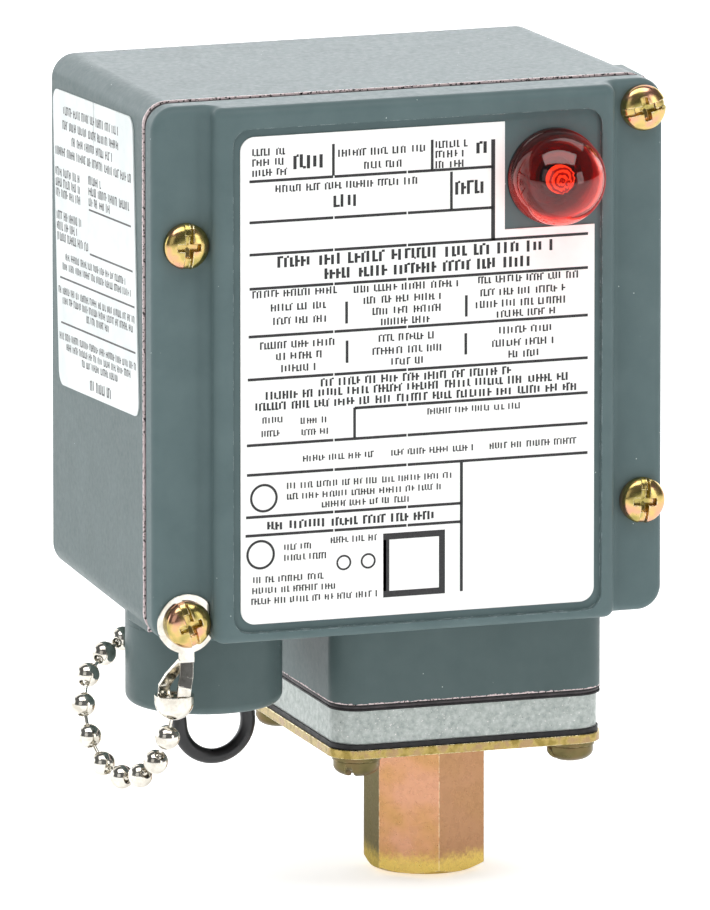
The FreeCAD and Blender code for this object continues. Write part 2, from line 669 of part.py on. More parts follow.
def make_push_parts():
    """Pressure plate, push rod and the bush that guides it."""
    low = "(%s - seal_thick + 0.05)" % NECK_Z
    turned("pressure_plate", [(0, low), ("piston_radius", low), ("piston_radius", low + " + 1.6"),
                              ("piston_radius - 5", low + " + piston_thick"),
                              (0, low + " + piston_thick")])
    turned("push_rod", [(0, low + " + piston_thick"), ("rod_radius", low + " + piston_thick"),
                        ("rod_radius", "rod_top - 2"), (1, "rod_top"), (0, "rod_top")])
    turned("rod_guide", [("rod_radius + 0.05", "box_bottom - 9"), ("guide_radius", "box_bottom - 9"),
                         ("guide_radius", FLOOR), ("guide_radius + 2", FLOOR),
                         ("guide_radius + 2", FLOOR + " + 1.2"),
                         ("rod_radius + 0.05", FLOOR + " + 1.2")])


# ---- lever, spring and frame --------------------------------------------------------------------

def make_lever():
    """Lever with its pivot pin, clips, bracket and bracket screws."""
    body = new_body("lever")
    made = sketch(body, "Z", "pivot_z - lever_half")
    side = [("pivot_x", 9), (-15, 9), (-8, 12), (8, 12), (15, 6), ("lever_end", 6)]
    outline(made, side + [(x, -y) for x, y in side[::-1]])
    pad(body, made, "2 * lever_half")
    made = sketch(body, "Y", -9)
    circle(made, "pivot_x", "pivot_z", "pivot_radius + 1.5")
    pad(body, made, 18)
    made = sketch(body, "Y", -9)
    circle(made, "pivot_x", "pivot_z", "pivot_radius + 0.05")
    pocket(body, made, 18)

    node(rod("pivot_x", -14, "pivot_z", "pivot_radius", 28, "+Y"), "pivot_pin")
    clip = turned("pin_clip", [("pivot_radius", 0), ("pivot_radius + 1.8", 0),
                               ("pivot_radius + 1.8", 0.7), ("pivot_radius", 0.7)], exported=False)
    copies("pin_clips", clip, [("pivot_x", -13.9, "pivot_z", "+Y", 0), ("pivot_x", 13.2, "pivot_z",
                                                                         "+Y", 0)])
    base = block("pivot_x - 5", -21, FLOOR, 12, 42, "bracket_thick")
    ears = [block("pivot_x - 5", y, FLOOR, 10, 2, 10) for y in (-13.1, 11.1)]
    holes = [rod("pivot_x", -22, "pivot_z", "pivot_radius + 0.02", 44, "+Y")]
    holes += [rod(x, y, FLOOR + " - 1", "small_hole + 0.1", 5) for x, y in BRACKET_SCREWS]
    node(cut(join(base, *ears), *holes), "pivot_bracket")


def make_spring_frame():
    """Inverted U frame, range spring, its two seats, the range screw and its clip."""
    wide = "2 * frame_half_x"
    legs = [block("-frame_half_x", y, FLOOR, wide, "frame_sheet", "frame_top - " + FLOOR)
            for y in ("-frame_half_y", "frame_half_y - frame_sheet")]
    feet = [block("-frame_half_x", y, FLOOR, wide, "frame_sheet + 10", "frame_sheet")
            for y in ("-frame_half_y - 10", "frame_half_y - frame_sheet")]
    web = block("-frame_half_x", "-frame_half_y", "frame_top - 2.5", wide, "2 * frame_half_y", 2.5)
    holes = [rod(x, y, FLOOR + " - 1", "small_hole + 0.1", 5) for x, y in FRAME_SCREWS]
    holes.append(rod(0, 0, "frame_top - 4", "range_radius + 0.05", 6))
    node(cut(join(*legs, *feet, web), *holes), "spring_frame")
    screw = pan_screw("inner_screw", 2.8, 2, "small_shank", 6, 0.9)
    copies("frame_screws", screw, [(x, y, FLOOR + " + frame_sheet", "+Z", 25 * x + y)
                                   for x, y in FRAME_SCREWS])
    copies("bracket_screws", screw, [(x, y, FLOOR + " + bracket_thick", "+Z", 3 * y)
                              for x, y in BRACKET_SCREWS])

    top = "(pivot_z + lever_half)"
    turned("lower_spring_seat", [(0, top), ("spring_radius + 0.5", top),
                                 ("spring_radius + 0.5", "spring_low"), (7, "spring_low"),
                                 (6, "spring_low + 4.5"), (0, "spring_low + 4.5")])
    plate = block("-frame_half_x", "-frame_half_y + frame_sheet + 0.05", "spring_high", wide,
                  "2 * (frame_half_y - frame_sheet - 0.05)", 4)
    seat = join(plate, rod(0, 0, "spring_high - 5", 7, 6))
    node(cut(seat, rod(0, 0, "spring_high - 6", "range_radius + 0.05", 12)), "upper_spring_seat")
    stem = turned("range_screw", [(0, "range_bottom"), ("range_radius", "range_bottom"),
                                  ("range_radius", "frame_top"), (6, "frame_top"),
                                  (6, "frame_top + 4.6"), (5.2, "frame_top + 5.4"),
                                  (0, "frame_top + 5.4")])
    made = sketch(stem, "Z", "frame_top + 5.4")
    rectangle(made, -7, 7, -0.8, 0.8)
    pocket(stem, made, 2, forward=False)
    turned("range_screw_clip", [("range_radius", "frame_top - 4"), (5.5, "frame_top - 4"),
                                (5.5, "frame_top - 2.6"), ("range_radius", "frame_top - 2.6")])
    shaped("range_spring", coil_spring())


def coil_spring():
    """Round wire helix with closed, ground ends between the two seats."""
    wire = size("spring_wire") / 2
    mean = size("spring_radius") - wire
    low = size("spring_low")
    high = size("spring_high")
    turns = int(size("spring_turns"))
    pitch = (high - low) / turns
    path = Part.makeHelix(pitch, (turns + 1) * pitch, mean)
    ring = Part.Wire(Part.Circle(Vector(mean, 0, 0), Vector(0, 1, 0), wire).toShape())
    solid = Part.Wire(path).makePipeShell([ring], True, True)
    solid.translate(Vector(0, 0, low - pitch / 2))
    between = Part.makeCylinder(3 * mean, high - low - 0.04, Vector(0, 0, low + 0.02))
    return solid.common(between).Solids[0]


# ---- snap switch --------------------------------------------------------------------------------

SWITCH_SCREWS = [(-14.8, 109.5), (14.8, 109.5), (14.8, 81)]
TERMINALS = (83, 94.5, 106)
TERMINAL_X = 22.5


def make_switch():
    """Switch block on its bracket, with plunger, contact arm, contacts and terminals."""
    width = "switch_right - switch_left"
    bracket = block("frame_half_x", "-frame_half_y", "switch_low - 2", "switch_left - frame_half_x",
                    "2 * frame_half_y", "switch_high - switch_low + 4")
    holes = [rod("frame_half_x - 1", y, z, "small_hole", 4, "+X") for y, z in SWITCH_SCREWS]
    node(cut(bracket, *holes), "switch_bracket")

    base = block("switch_left", "-switch_half", "switch_low", width, "2 * switch_half",
                 "switch_high - switch_low")
    room = block("switch_left + 4", -13, "switch_low + 10", width, 26, 18)
    holes = [rod("switch_left - 1", y, z, "small_hole", 20, "+X") for y, z in SWITCH_SCREWS]
    holes += [rod(TERMINAL_X, "-switch_half - 1", z, "small_hole", 4.4, "+Y") for z in TERMINALS]
    holes.append(rod("plunger_x", 0, "switch_low - 1", "plunger_radius + 0.05", 12))
    holes.append(rod("switch_left + 2.5", "arm_pivot_y", "arm_pivot_z", 0.82, 6, "+X"))
    node(cut(base, room, *holes), "switch_base")
    plate = block("switch_right", "-switch_half", "switch_low", 1.2, "2 * switch_half",
                  "switch_high - switch_low")
    holes = [rod("switch_right - 1", y, z, "small_hole", 4, "+X") for y, z in SWITCH_SCREWS]
    node(cut(plate, *holes), "switch_cover")

    tip = "(pivot_z + lever_half + 0.05)"
    plunger = turned("switch_plunger", [(0, tip), (1, tip), ("plunger_radius", tip + " + 1"),
                                        ("plunger_radius", "arm_pivot_z - 2"),
                                        (1.2, "arm_pivot_z - 1.4"), (0.1, "arm_pivot_z - 1.04"),
                                        (0, "arm_pivot_z - 1.04")])
    place(plunger, "plunger_x", 0, 0)
    bar = block("plunger_x - 2.5", -12, "arm_pivot_z - 1", 5, "12 + arm_pivot_y", 1.2)
    eye = rod("plunger_x - 2.5", "arm_pivot_y", "arm_pivot_z", 1.8, 5, "+X")
    button = rod("plunger_x", "contact_y", "arm_pivot_z - 1.7", 1.5, 2.6)
    hole = rod("plunger_x - 3", "arm_pivot_y", "arm_pivot_z", 0.85, 6, "+X")
    node(cut(join(bar, eye, button), hole), "contact_arm")
    node(rod("switch_left + 2.6", "arm_pivot_y", "arm_pivot_z", 0.8, "switch_right - switch_left - 2.8",
             "+X"), "arm_pin")
    group("fixed_contacts", [
        rod("plunger_x", "contact_y", "switch_low + 10", 1.4, "arm_pivot_z - 11.72 - switch_low"),
        rod("plunger_x", "contact_y", "arm_pivot_z + 4.4", 1.4, "switch_low + 23.6 - arm_pivot_z")])
    group("terminals", [
        cut(block(TERMINAL_X - 4.5, "-switch_half - 1", z - 4, 9, 1, 8),
            rod(TERMINAL_X, "-switch_half - 2", z, "small_hole", 3, "+Y")) for z in TERMINALS])
    screw = pan_screw("terminal_screw", 2.8, 2, "small_shank", 4, 0.9)
    copies("terminal_screws", screw, [(TERMINAL_X, "-switch_half - 1", z, "-Y", 2.3 * z)
                                      for z in TERMINALS])
    screw = pan_screw("switch_screw", 2.6, 1.3, "small_shank", 18.5, 0.9)
    copies("switch_screws", screw, [("switch_right + 1.2", y, z, "+X", 4 * y)
                                    for y, z in SWITCH_SCREWS])
    screw = pan_screw("earth_screw", 4.4, 2.8, 2, 5, 1.1)
    copies("ground_screw", screw, [(BACK_BOSSES[2][0], BACK + " - 8", BACK_BOSSES[2][1], "-Y", 35)])

# ---- conduit plug -------------------------------------------------------------------------------

def make_plug():
    """Thread protector in the conduit hub, moulded in one piece with a pull loop."""
    low = "(box_bottom - hub_drop + 0.6)"
    core = cut(rod("hub_x", "hub_y", low, "hub_bore - 0.05", 12),
               rod("hub_x", "hub_y", low + " + 2.5", "hub_bore - 2.2", 11))
    half = size("loop_half")
    depth = size("loop_drop") - half
    turn = half
    first = Vector(-half, 0, 0.1)
    last = Vector(half, 0, 0.1)
    edges = [Part.LineSegment(first, Vector(-half, 0, -depth)).toShape(),
             Part.Arc(Vector(-half, 0, -depth), Vector(0, 0, -depth - turn),
                      Vector(half, 0, -depth)).toShape(),
             Part.LineSegment(Vector(half, 0, -depth), last).toShape()]
    ring = Part.Wire(Part.Circle(first, Vector(0, 0, -1), size("loop_wire")).toShape())
    loop = doc.addObject("Part::Feature", "pull_loop")
    loop.Shape = Part.Wire(edges).makePipeShell([ring], True, False)
    place(loop, "hub_x + loop_shift", "hub_y", low + " + 0.75",
          Rotation(Vector(0, 1, 0), -size("loop_lean")))
    node(join(core, loop), "conduit_plug")


# ---- cover chain --------------------------------------------------------------------------------

CHAIN_ROUTE = [(-67.2, -41, 46.1), (-68.6, -41, 40), (-71.5, -33, 30.5), (-75.5, -20.5, 30.2),
               (-77.5, -14.5, 38), (-75.5, -9.5, 46.5), (-68.5, -4.5, 51), (-61.5, 1, 53),
               (-55.4, 6.2, 53.8)]


def bead_centres():
    """Bead centres at an even pitch on a smooth curve through the route, with one place at each end."""
    curve = Part.BSplineCurve()
    curve.interpolate([Vector(*point) for point in CHAIN_ROUTE])
    edge = curve.toShape()
    return edge.discretize(Number=round(edge.Length / size("bead_pitch")) + 1)


def strap(points, half, thick, across=Vector(1, 0, 0)):
    """Flat strap of rectangular section through a few points, its width along a direction."""
    route = [Vector(*point) for point in points]
    pieces = []
    for first, last in zip(route, route[1:]):
        way = (last - first).normalize()
        bar = Part.makeBox(2 * half, thick, (last - first).Length + thick / 2,
                           Vector(-half, -thick / 2, 0))
        bar.Placement = Placement(first, Rotation(across, way.cross(across) * -1, way, "ZXY"))
        pieces.append(bar)
    made = doc.addObject("Part::Feature", "strap")
    made.Shape = pieces[0].fuse(pieces[1:]).removeSplitter()
    return made


def cup(centre, opening):
    """Clasp cup: a bowl with a short straight rim, open one way, with a hole for the chain at its pole."""
    tilt = Rotation(Vector(0, 0, 1), opening)
    base = centre + opening * 1.15
    outside = join(ball(base.x, base.y, base.z, "cup_radius"),
                   rod(base.x, base.y, base.z, "cup_radius", 1.15, tilt))
    inside = ball(base.x, base.y, base.z, "cup_radius - cup_wall")
    over = base + opening * 1.15
    above = rod(over.x, over.y, over.z, "2 * cup_radius", "2 * cup_radius", tilt)
    bore = rod(base.x, base.y, base.z, "cup_radius - cup_wall", 2, tilt)
    pole = base - opening * (2 * size("cup_radius"))
    hole = rod(pole.x, pole.y, pole.z, 1.3, "2 * cup_radius", tilt)
    return cut(outside, inside, above, bore, hole)


def make_chain():
    """Bead chain from a tab under the low left cover screw to an anchor behind the hub."""
    centres = bead_centres()
    outer = size("bead_radius")
    inner = size("bead_inner")
    beads = []
    for before, here, after in zip(centres, centres[1:], centres[2:]):
        way = (after - before).normalize()
        shell = Part.makeSphere(outer, here).cut(Part.makeSphere(inner, here))
        hole = Part.makeCylinder(size("bead_hole"), 4 * outer, here - way * 2 * outer, way)
        beads.append(shell.cut(hole))
    shaped("chain_beads", Part.makeCompound([bead.Solids[0] for bead in beads]))
    links = []
    for first, last in zip(centres, centres[1:]):
        way = (last - first).normalize()
        ends = (first + way * size("head_offset"), last - way * size("head_offset"))
        shape = Part.makeCylinder(size("link_radius"), (ends[1] - ends[0]).Length, ends[0], way)
        for end in ends:
            shape = shape.fuse(Part.makeSphere(size("link_head"), end))
        links.append(shape.Solids[0])
    shaped("chain_links", Part.makeCompound(links))

    start = centres[0]
    rim = start.z + 2.3
    ring = rod("screw_left", FLANGE_FACE, "screw_left_low", "tab_radius", 0.8, "-Y")
    hole = rod("screw_left", FLANGE_FACE + " + 1", "screw_left_low", "clearance + 0.3", 3, "-Y")
    neck = block("screw_left - 1.55", FLANGE_FACE + " - 0.8", "screw_left_low - 8", 3.1, 0.8, 3)
    front_leg = strap([(-64.9, -41.9, 55.5), (-65.2, -42.7, 52.2), (-65.8, -43.4, 50.4),
                       (-66.2, -43.6, rim - 1)], 1.4, 0.6)
    back_leg = strap([(-65.6, -41.9, 55.3), (-67.9, -40.2, 52), (-68.6, -38.8, 50),
                      (-68.4, -37.9, rim - 1)], 1.2, 0.6)
    node(join(cut(ring, hole), neck, front_leg, back_leg, cup(start, Vector(0, 0, 1))), "chain_tab")

    end = centres[-1]
    way = (end - centres[-2]).normalize()
    plate = rod(ANCHOR[0], ANCHOR[1], "box_bottom - 0.8", 5, 0.8)
    hole = rod(ANCHOR[0], ANCHOR[1], "box_bottom - 2", "small_hole + 0.1", 3)
    leg = strap([(ANCHOR[0] - 3.2, ANCHOR[1], 58.5), (end.x + 1.5, end.y + 1.3, end.z + 3.8)],
                1.4, 0.6, across=Vector(0, 1, 0))
    node(join(cut(plate, hole), leg, cup(end, way)), "chain_anchor")
    screw = pan_screw("small_pan_screw", 2.8, 2, "small_shank", 6, 0.9)
    copies("anchor_screw", screw, [(ANCHOR[0], ANCHOR[1], "box_bottom - 0.8", "-Z", 30)])


# ---- build, check and export --------------------------------------------------------------------

def check_document():
    """Stop if any object failed or any node's shape is missing or invalid."""
    doc.recompute()
    for item in doc.Objects:
        if "Invalid" in item.State or "Error" in item.State:
            raise RuntimeError("%s (%s) failed: %s" % (item.Name, item.Label, item.State))
    for item in NODES:
        if item.Shape.isNull() or not item.Shape.isValid():
            raise RuntimeError(item.Label + " has no valid shape")


def export_nodes():
    """Write each node's shape to parts/NODE.step."""
    os.makedirs("parts", exist_ok=True)
    for item in NODES:
        item.Shape.exportStep(os.path.join("parts", item.Label + ".step"))


make_enclosure()
make_conduit_socket()
make_cover()
make_labels()
make_pilot_light()
make_pressure_stack()
make_push_parts()
make_lever()
make_spring_frame()
make_switch()
make_plug()
make_chain()
check_document()
export_nodes()
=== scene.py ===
"""Looks of the pressure switch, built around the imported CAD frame.

Metres in the row frame: +Z up, the front cover faces -Y. Helper functions take millimetres.
"""
import json
import math
import random
import bmesh
import bpy
from mathutils import Matrix, Vector


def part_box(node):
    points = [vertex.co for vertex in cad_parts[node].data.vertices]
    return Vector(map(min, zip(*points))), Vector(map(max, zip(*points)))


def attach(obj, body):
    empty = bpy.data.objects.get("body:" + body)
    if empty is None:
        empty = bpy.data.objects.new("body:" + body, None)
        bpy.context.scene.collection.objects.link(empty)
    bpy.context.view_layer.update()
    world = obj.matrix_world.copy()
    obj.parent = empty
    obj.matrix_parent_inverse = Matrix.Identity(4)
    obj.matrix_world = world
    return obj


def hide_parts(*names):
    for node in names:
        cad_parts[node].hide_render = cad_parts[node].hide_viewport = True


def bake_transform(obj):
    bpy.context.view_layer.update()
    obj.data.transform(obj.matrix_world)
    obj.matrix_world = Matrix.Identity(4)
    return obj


MM = 0.001
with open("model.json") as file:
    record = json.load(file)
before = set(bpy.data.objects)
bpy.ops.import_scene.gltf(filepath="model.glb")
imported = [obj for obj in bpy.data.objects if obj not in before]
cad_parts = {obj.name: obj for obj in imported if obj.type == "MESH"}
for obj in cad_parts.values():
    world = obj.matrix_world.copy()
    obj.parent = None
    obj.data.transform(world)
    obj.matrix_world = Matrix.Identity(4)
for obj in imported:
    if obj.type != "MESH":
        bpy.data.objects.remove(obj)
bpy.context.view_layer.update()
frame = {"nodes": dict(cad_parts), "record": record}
NODES = frame["nodes"]
SCENE = bpy.context.scene


def box_mm(name):
    """Lowest and highest corners of a CAD node at rest, in millimetres."""
    return [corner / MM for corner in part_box(name)]


# ---- node materials -----------------------------------------------------------------------------

def rgb(red, green, blue):
    """Linear colour from 0 to 255 display values."""
    parts = [c / 255 for c in (red, green, blue)]
    return [c / 12.92 if c <= 0.04045 else ((c + 0.055) / 1.055) ** 2.4 for c in parts] + [1.0]


class Look:
    """Material built up from nodes around one Principled shader. Sizes are in millimetres."""

    def __init__(self, name):
        self.material = bpy.data.materials.new(name)
        self.material.use_nodes = True
        self.tree = self.material.node_tree
        self.shader = self.tree.nodes["Principled BSDF"]
        self.at = self.node("ShaderNodeTexCoord").outputs["Object"]

    def node(self, kind, feeds=None, **settings):
        made = self.tree.nodes.new(kind)
        for key, value in settings.items():
            setattr(made, key, value)
        for socket, value in (feeds or {}).items():
            self.feed(made.inputs[socket], value)
        return made

    def feed(self, socket, value):
        if isinstance(value, bpy.types.NodeSocket):
            self.tree.links.new(value, socket)
        else:
            socket.default_value = value

    def noise(self, size, detail=2, rough=0.5, stretch=None):
        """Noise whose features have about this size, drawn out along an axis if asked."""
        at = self.at
        if stretch:
            at = self.node("ShaderNodeMapping", {"Vector": at, "Scale": stretch}).outputs["Vector"]
        feeds = {"Vector": at, "Scale": 1 / (size * MM), "Detail": detail, "Roughness": rough}
        return self.node("ShaderNodeTexNoise", feeds).outputs["Fac"]

    def cells(self, size):
        """Distance to the nearest of scattered points, from 0 at a point."""
        feeds = {"Vector": self.at, "Scale": 1 / (size * MM)}
        return self.node("ShaderNodeTexVoronoi", feeds).outputs["Distance"]

    def axis(self, name, spot=0.0):
        """Distance along an object axis from a spot, in millimetres."""
        split = self.node("ShaderNodeSeparateXYZ", {"Vector": self.at})
        scaled = self.calc("MULTIPLY", split.outputs[name], 1 / MM)
        return self.calc("SUBTRACT", scaled, spot)

    def calc(self, operation, a, b=0.0):
        """One step of arithmetic."""
        return self.node("ShaderNodeMath", {0: a, 1: b}, operation=operation).outputs[0]

    def step(self, value, low, high):
        """0 below low, 1 above high, smooth between. It falls if low is above high."""
        feeds = {"Value": value, "From Min": low, "From Max": high}
        return self.node("ShaderNodeMapRange", feeds, interpolation_type="SMOOTHSTEP").outputs[0]

    def spread(self, value, low, high):
        """A noise value spread between two numbers."""
        feeds = {"Value": value, "From Min": 0.3, "From Max": 0.7, "To Min": low, "To Max": high}
        return self.node("ShaderNodeMapRange", feeds).outputs[0]

    def mix(self, share, a, b):
        made = self.node("ShaderNodeMix", {0: share, 6: a, 7: b}, data_type="RGBA")
        return made.outputs[2]

    def ramp(self, value, *stops):
        """Colours from (place, colour) stops."""
        made = self.node("ShaderNodeValToRGB", {"Fac": value})
        elements = made.color_ramp.elements
        while len(elements) < len(stops):
            elements.new(0.5)
        for element, (place, colour) in zip(elements, stops):
            element.position = place
            element.color = colour
        return made.outputs["Color"]

    def edge(self, radius):
        """Normal with rounded edges, and a mask that is 1 along those edges."""
        bevel = self.node("ShaderNodeBevel", {"Radius": radius * MM}, samples=6).outputs["Normal"]
        normal = self.node("ShaderNodeNewGeometry").outputs["Normal"]
        dot = self.node("ShaderNodeVectorMath", {0: bevel, 1: normal}, operation="DOT_PRODUCT")
        return bevel, self.step(dot.outputs["Value"], 0.985, 0.86)

    def bump(self, height, depth, normal=None):
        """Normal of a relief whose height value is worth this depth."""
        feeds = {"Height": height, "Distance": depth * MM, "Strength": 1.0}
        if normal is not None:
            feeds["Normal"] = normal
        return self.node("ShaderNodeBump", feeds).outputs["Normal"]

    def finish(self, **sockets):
        for name, value in sockets.items():
            self.feed(self.shader.inputs[name.replace("_", " ")], value)
        return self.material


def paint(name, colour, light, bare=None):
    """Enamel over a casting: orange peel, faint mottling, dust specks, edges lightened as wear and painted
    highlight, and bare metal at worn edges.
    """
    look = Look(name)
    normal, edge = look.edge(0.35)
    tone = look.ramp(look.noise(9, 4, 0.55), (0.3, colour), (0.7, light))
    grain = look.noise(0.32, 3, 0.6)
    tone = look.mix(look.spread(grain, 0.0, 0.12), tone, light)
    # Edges lightened towards pale grey-blue: partly paint worn through, partly a painted highlight along the
    # edges.
    worn_edge_and_highlight = look.calc("MULTIPLY", edge, look.step(look.noise(2.2, 3, 0.7), 0.46, 0.62))
    tone = look.mix(look.calc("MULTIPLY", worn_edge_and_highlight, 0.45), tone, rgb(188, 200, 202))
    dust = look.step(look.cells(2.6), 0.05, 0.035)
    tone = look.mix(look.calc("MULTIPLY", dust, look.step(look.noise(11, 2), 0.54, 0.6)), tone,
                    rgb(196, 206, 204))
    rough = look.spread(look.noise(1.1, 3, 0.6), 0.3, 0.42)
    if bare:
        worn = look.mix(look.step(look.noise(0.45, 2, 0.6), 0.56, 0.6), rgb(226, 208, 208), rgb(38, 30, 32))
        share = bare(look)
        tone = look.mix(share, tone, worn)
        rough = look.calc("ADD", rough, look.calc("MULTIPLY", share, 0.08))
    relief = look.bump(look.noise(1.3, 2), 0.02, look.bump(grain, 0.012, normal))
    return look.finish(Base_Color=tone, Roughness=rough, Normal=relief, Specular_IOR_Level=0.08,
                       Coat_Weight=0.03, Coat_Roughness=0.12)


def bare_rim(look):
    """Bare strip along the front rim of the box, and chips round the foot of the neck."""
    casting_low = box_mm("enclosure_body")[0]
    ragged = look.calc("MULTIPLY", look.noise(1.2, 3, 0.7), 0.9)
    rim = look.step(look.calc("ADD", look.axis("Y", casting_low.y), ragged), 1.15, 0.95)
    foot = look.step(look.calc("ADD", look.axis("Z", casting_low.z), ragged), 0.75, 0.6)
    return look.calc("MAXIMUM", rim, foot)


def chromate(name, deep, gold, pink, pale, broad=6.5, rough=(0.26, 0.42), low=None, painted_shade_flats=(),
             graze=(1, 1, 1, 1)):
    """Zinc plate with an iridescent chromate film, pale along edges as wear and painted highlight, and
    pitted all over.

    The film can be golden near a low end, and faces that point given ways get painted shade in a colour of
    their own.
    """
    look = Look(name)
    normal, edge = look.edge(0.3)
    drift = look.calc("ADD", look.noise(broad, 2), look.calc("MULTIPLY", look.noise(1.6, 3, 0.7), 0.08))
    tone = look.ramp(drift, (0.4, deep), (0.52, gold), (0.64, pink))
    facing = look.node("ShaderNodeNewGeometry").outputs["Normal"] if painted_shade_flats else None
    # Painted shade: faces that point given ways take a darker colour of their own, for the light they get.
    for way, colour in painted_shade_flats:
        dot = look.node("ShaderNodeVectorMath", {0: facing, 1: way}, operation="DOT_PRODUCT")
        share = look.calc("MULTIPLY", look.step(dot.outputs["Value"], 0.8, 0.95), 0.85)
        tone = look.mix(share, tone, colour)
    if low is not None:
        near = look.calc("ADD", look.axis("Z", low), look.calc("MULTIPLY", look.noise(1.1, 4, 0.75), 5.0))
        tone = look.mix(look.calc("MULTIPLY", look.step(near, 6.6, 3.2), 0.8), tone, rgb(222, 196, 104))
    pits = look.step(look.noise(0.34, 2, 0.7), 0.66, 0.72)
    tone = look.mix(look.calc("MULTIPLY", pits, 0.6), tone, rgb(104, 66, 40))
    # Edges lightened towards the pale colour: partly worn film, partly a painted highlight along the edges.
    worn_edge_and_highlight = look.calc("MULTIPLY", edge, look.step(look.noise(1.3, 3, 0.7), 0.4, 0.55))
    tone = look.mix(look.calc("MULTIPLY", worn_edge_and_highlight, 0.85), tone, pale)
    relief = look.bump(look.noise(0.4, 3, 0.6), 0.008, normal)
    return look.finish(Base_Color=tone, Metallic=1.0, Roughness=look.spread(look.noise(1.5, 3), *rough),
                       Specular_Tint=graze, Normal=relief)


def plated(name, colour, dark, low, high, drawn=None, bevel=0.15):
    """Plated or drawn metal with faint clouding, a grain, fine scratches and edges lightened as painted
    highlight.
    """
    look = Look(name)
    normal, edge = look.edge(bevel)
    tone = look.ramp(look.noise(2.6, 4, 0.6), (0.34, dark), (0.6, colour))
    # Painted highlight: edges lightened towards near white.
    tone = look.mix(look.calc("MULTIPLY", edge, 0.35), tone, rgb(240, 238, 232))
    grain = look.noise(0.25, 3, 0.6, drawn or (1, 1, 0.12))
    rough = look.spread(look.noise(1.2, 4, 0.7), low, high)
    return look.finish(Base_Color=tone, Metallic=1.0, Roughness=rough,
                       Normal=look.bump(grain, 0.003, normal))


def casting(name):
    """Unpainted casting: mottled grey skin with pores, bright grains and a painted highlight along its
    edges.
    """
    look = Look(name)
    normal, edge = look.edge(0.4)
    tone = look.ramp(look.noise(1.2, 4, 0.7), (0.32, rgb(150, 158, 154)), (0.66, rgb(188, 194, 190)))
    pores = look.step(look.cells(1.2), 0.1, 0.06)
    tone = look.mix(look.calc("MULTIPLY", pores, 0.6), tone, rgb(70, 72, 70))
    sparks = look.step(look.noise(0.3, 1), 0.72, 0.76)
    # Bright grains, and a painted highlight along the edges from the edge mask.
    tone = look.mix(look.calc("MAXIMUM", sparks, look.calc("MULTIPLY", edge, 0.7)), tone, rgb(236, 230, 228))
    relief = look.bump(look.noise(0.9, 4, 0.6), 0.04, normal)
    return look.finish(Base_Color=tone, Metallic=0.55, Roughness=look.spread(look.noise(0.9), 0.42, 0.6),
                       Normal=relief)


def moulded(name, colour, light, low, high, depth=0.008):
    """Moulded plastic or rubber with a fine skin, faint flow marks and edges lightened as painted highlight.
    """
    look = Look(name)
    normal, edge = look.edge(0.2)
    tone = look.ramp(look.noise(3.5, 3, 0.6, (1, 1, 0.3)), (0.3, colour), (0.75, light))
    # Painted highlight: edges lightened towards the lighter colour.
    tone = look.mix(look.calc("MULTIPLY", edge, 0.25), tone, light)
    relief = look.bump(look.noise(0.22, 3, 0.6), depth, normal)
    return look.finish(Base_Color=tone, Roughness=look.spread(look.noise(1.4, 3), low, high), Normal=relief)


def film(name, colour, shade, crease=None):
    """Printed label film: slight yellowing, a fine texture and a lifted crease with painted shade in it if
    asked.
    """
    look = Look(name)
    tone = look.ramp(look.noise(14, 4, 0.6), (0.3, shade), (0.6, colour))
    relief = look.bump(look.noise(0.5, 3, 0.5), 0.003)
    if crease:
        relief = look.bump(crease(look), 0.25, relief)
        # Painted shade: the crease is darkened towards grey.
        tone = look.mix(look.calc("MULTIPLY", crease(look), 0.5), tone, rgb(150, 154, 156))
    return look.finish(Base_Color=tone, Roughness=look.spread(look.noise(4, 2), 0.38, 0.5), Normal=relief,
                       Coat_Weight=0.08)


def side_crease_and_shade(look):
    """Short upright crease below the side label's top edge, a mask for its relief and its painted shade."""
    middle, bottom, wander, half_width = 0.6, 153.0, 0.8, 0.45
    bend = look.calc("SUBTRACT", look.calc("MULTIPLY", look.noise(2.5, 2), 2 * wander), wander)
    across = look.calc("ABSOLUTE", look.calc("SUBTRACT", look.axis("Y", middle), bend))
    high = look.step(look.axis("Z", bottom), 0.0, 2.0)
    return look.calc("MULTIPLY", look.step(across, half_width, 0.1), high)


def ink(name):
    """Black print, slightly uneven in cover."""
    look = Look(name)
    tone = look.ramp(look.noise(0.35, 3, 0.6), (0.3, rgb(12, 12, 14)), (0.75, rgb(44, 43, 45)))
    return look.finish(Base_Color=tone, Roughness=look.spread(look.noise(0.8), 0.35, 0.5))


def see_through(name, tint, rough, painted_glow=None):
    """Clear or tinted plastic or glass that lets light through, with a painted glow in its wall if asked."""
    look = Look(name)
    wave = look.noise(3.0, 2)
    tone = look.ramp(wave, (0.3, tint), (0.7, [c * 0.9 for c in tint[:3]] + [1.0]))
    relief = look.bump(wave, 0.02)
    look.finish(Base_Color=tone, Roughness=look.spread(look.noise(2, 2), rough, rough + 0.03), IOR=1.5,
                Transmission_Weight=1.0, Normal=relief)
    if painted_glow:
        # Painted glow: red emission in the lens wall stands in for light refracted through it.
        look.finish(Emission_Color=rgb(255, 52, 40), Emission_Strength=painted_glow(look))
    clear = look.node("ShaderNodeBsdfTransparent", {"Color": [0.5 + 0.5 * c for c in tint[:3]] + [1.0]})
    shadow = look.node("ShaderNodeLightPath").outputs["Is Shadow Ray"]
    both = look.node("ShaderNodeMixShader", {0: shadow, 1: look.shader.outputs[0], 2: clear.outputs[0]})
    look.feed(look.tree.nodes["Material Output"].inputs["Surface"], both.outputs[0])
    return look.material


def off_axis(look, x, z):
    """Distance from an axis along Y through this spot."""
    x = look.axis("X", x)
    z = look.axis("Z", z)
    return look.calc("SQRT", look.calc("ADD", look.calc("MULTIPLY", x, x), look.calc("MULTIPLY", z, z)))


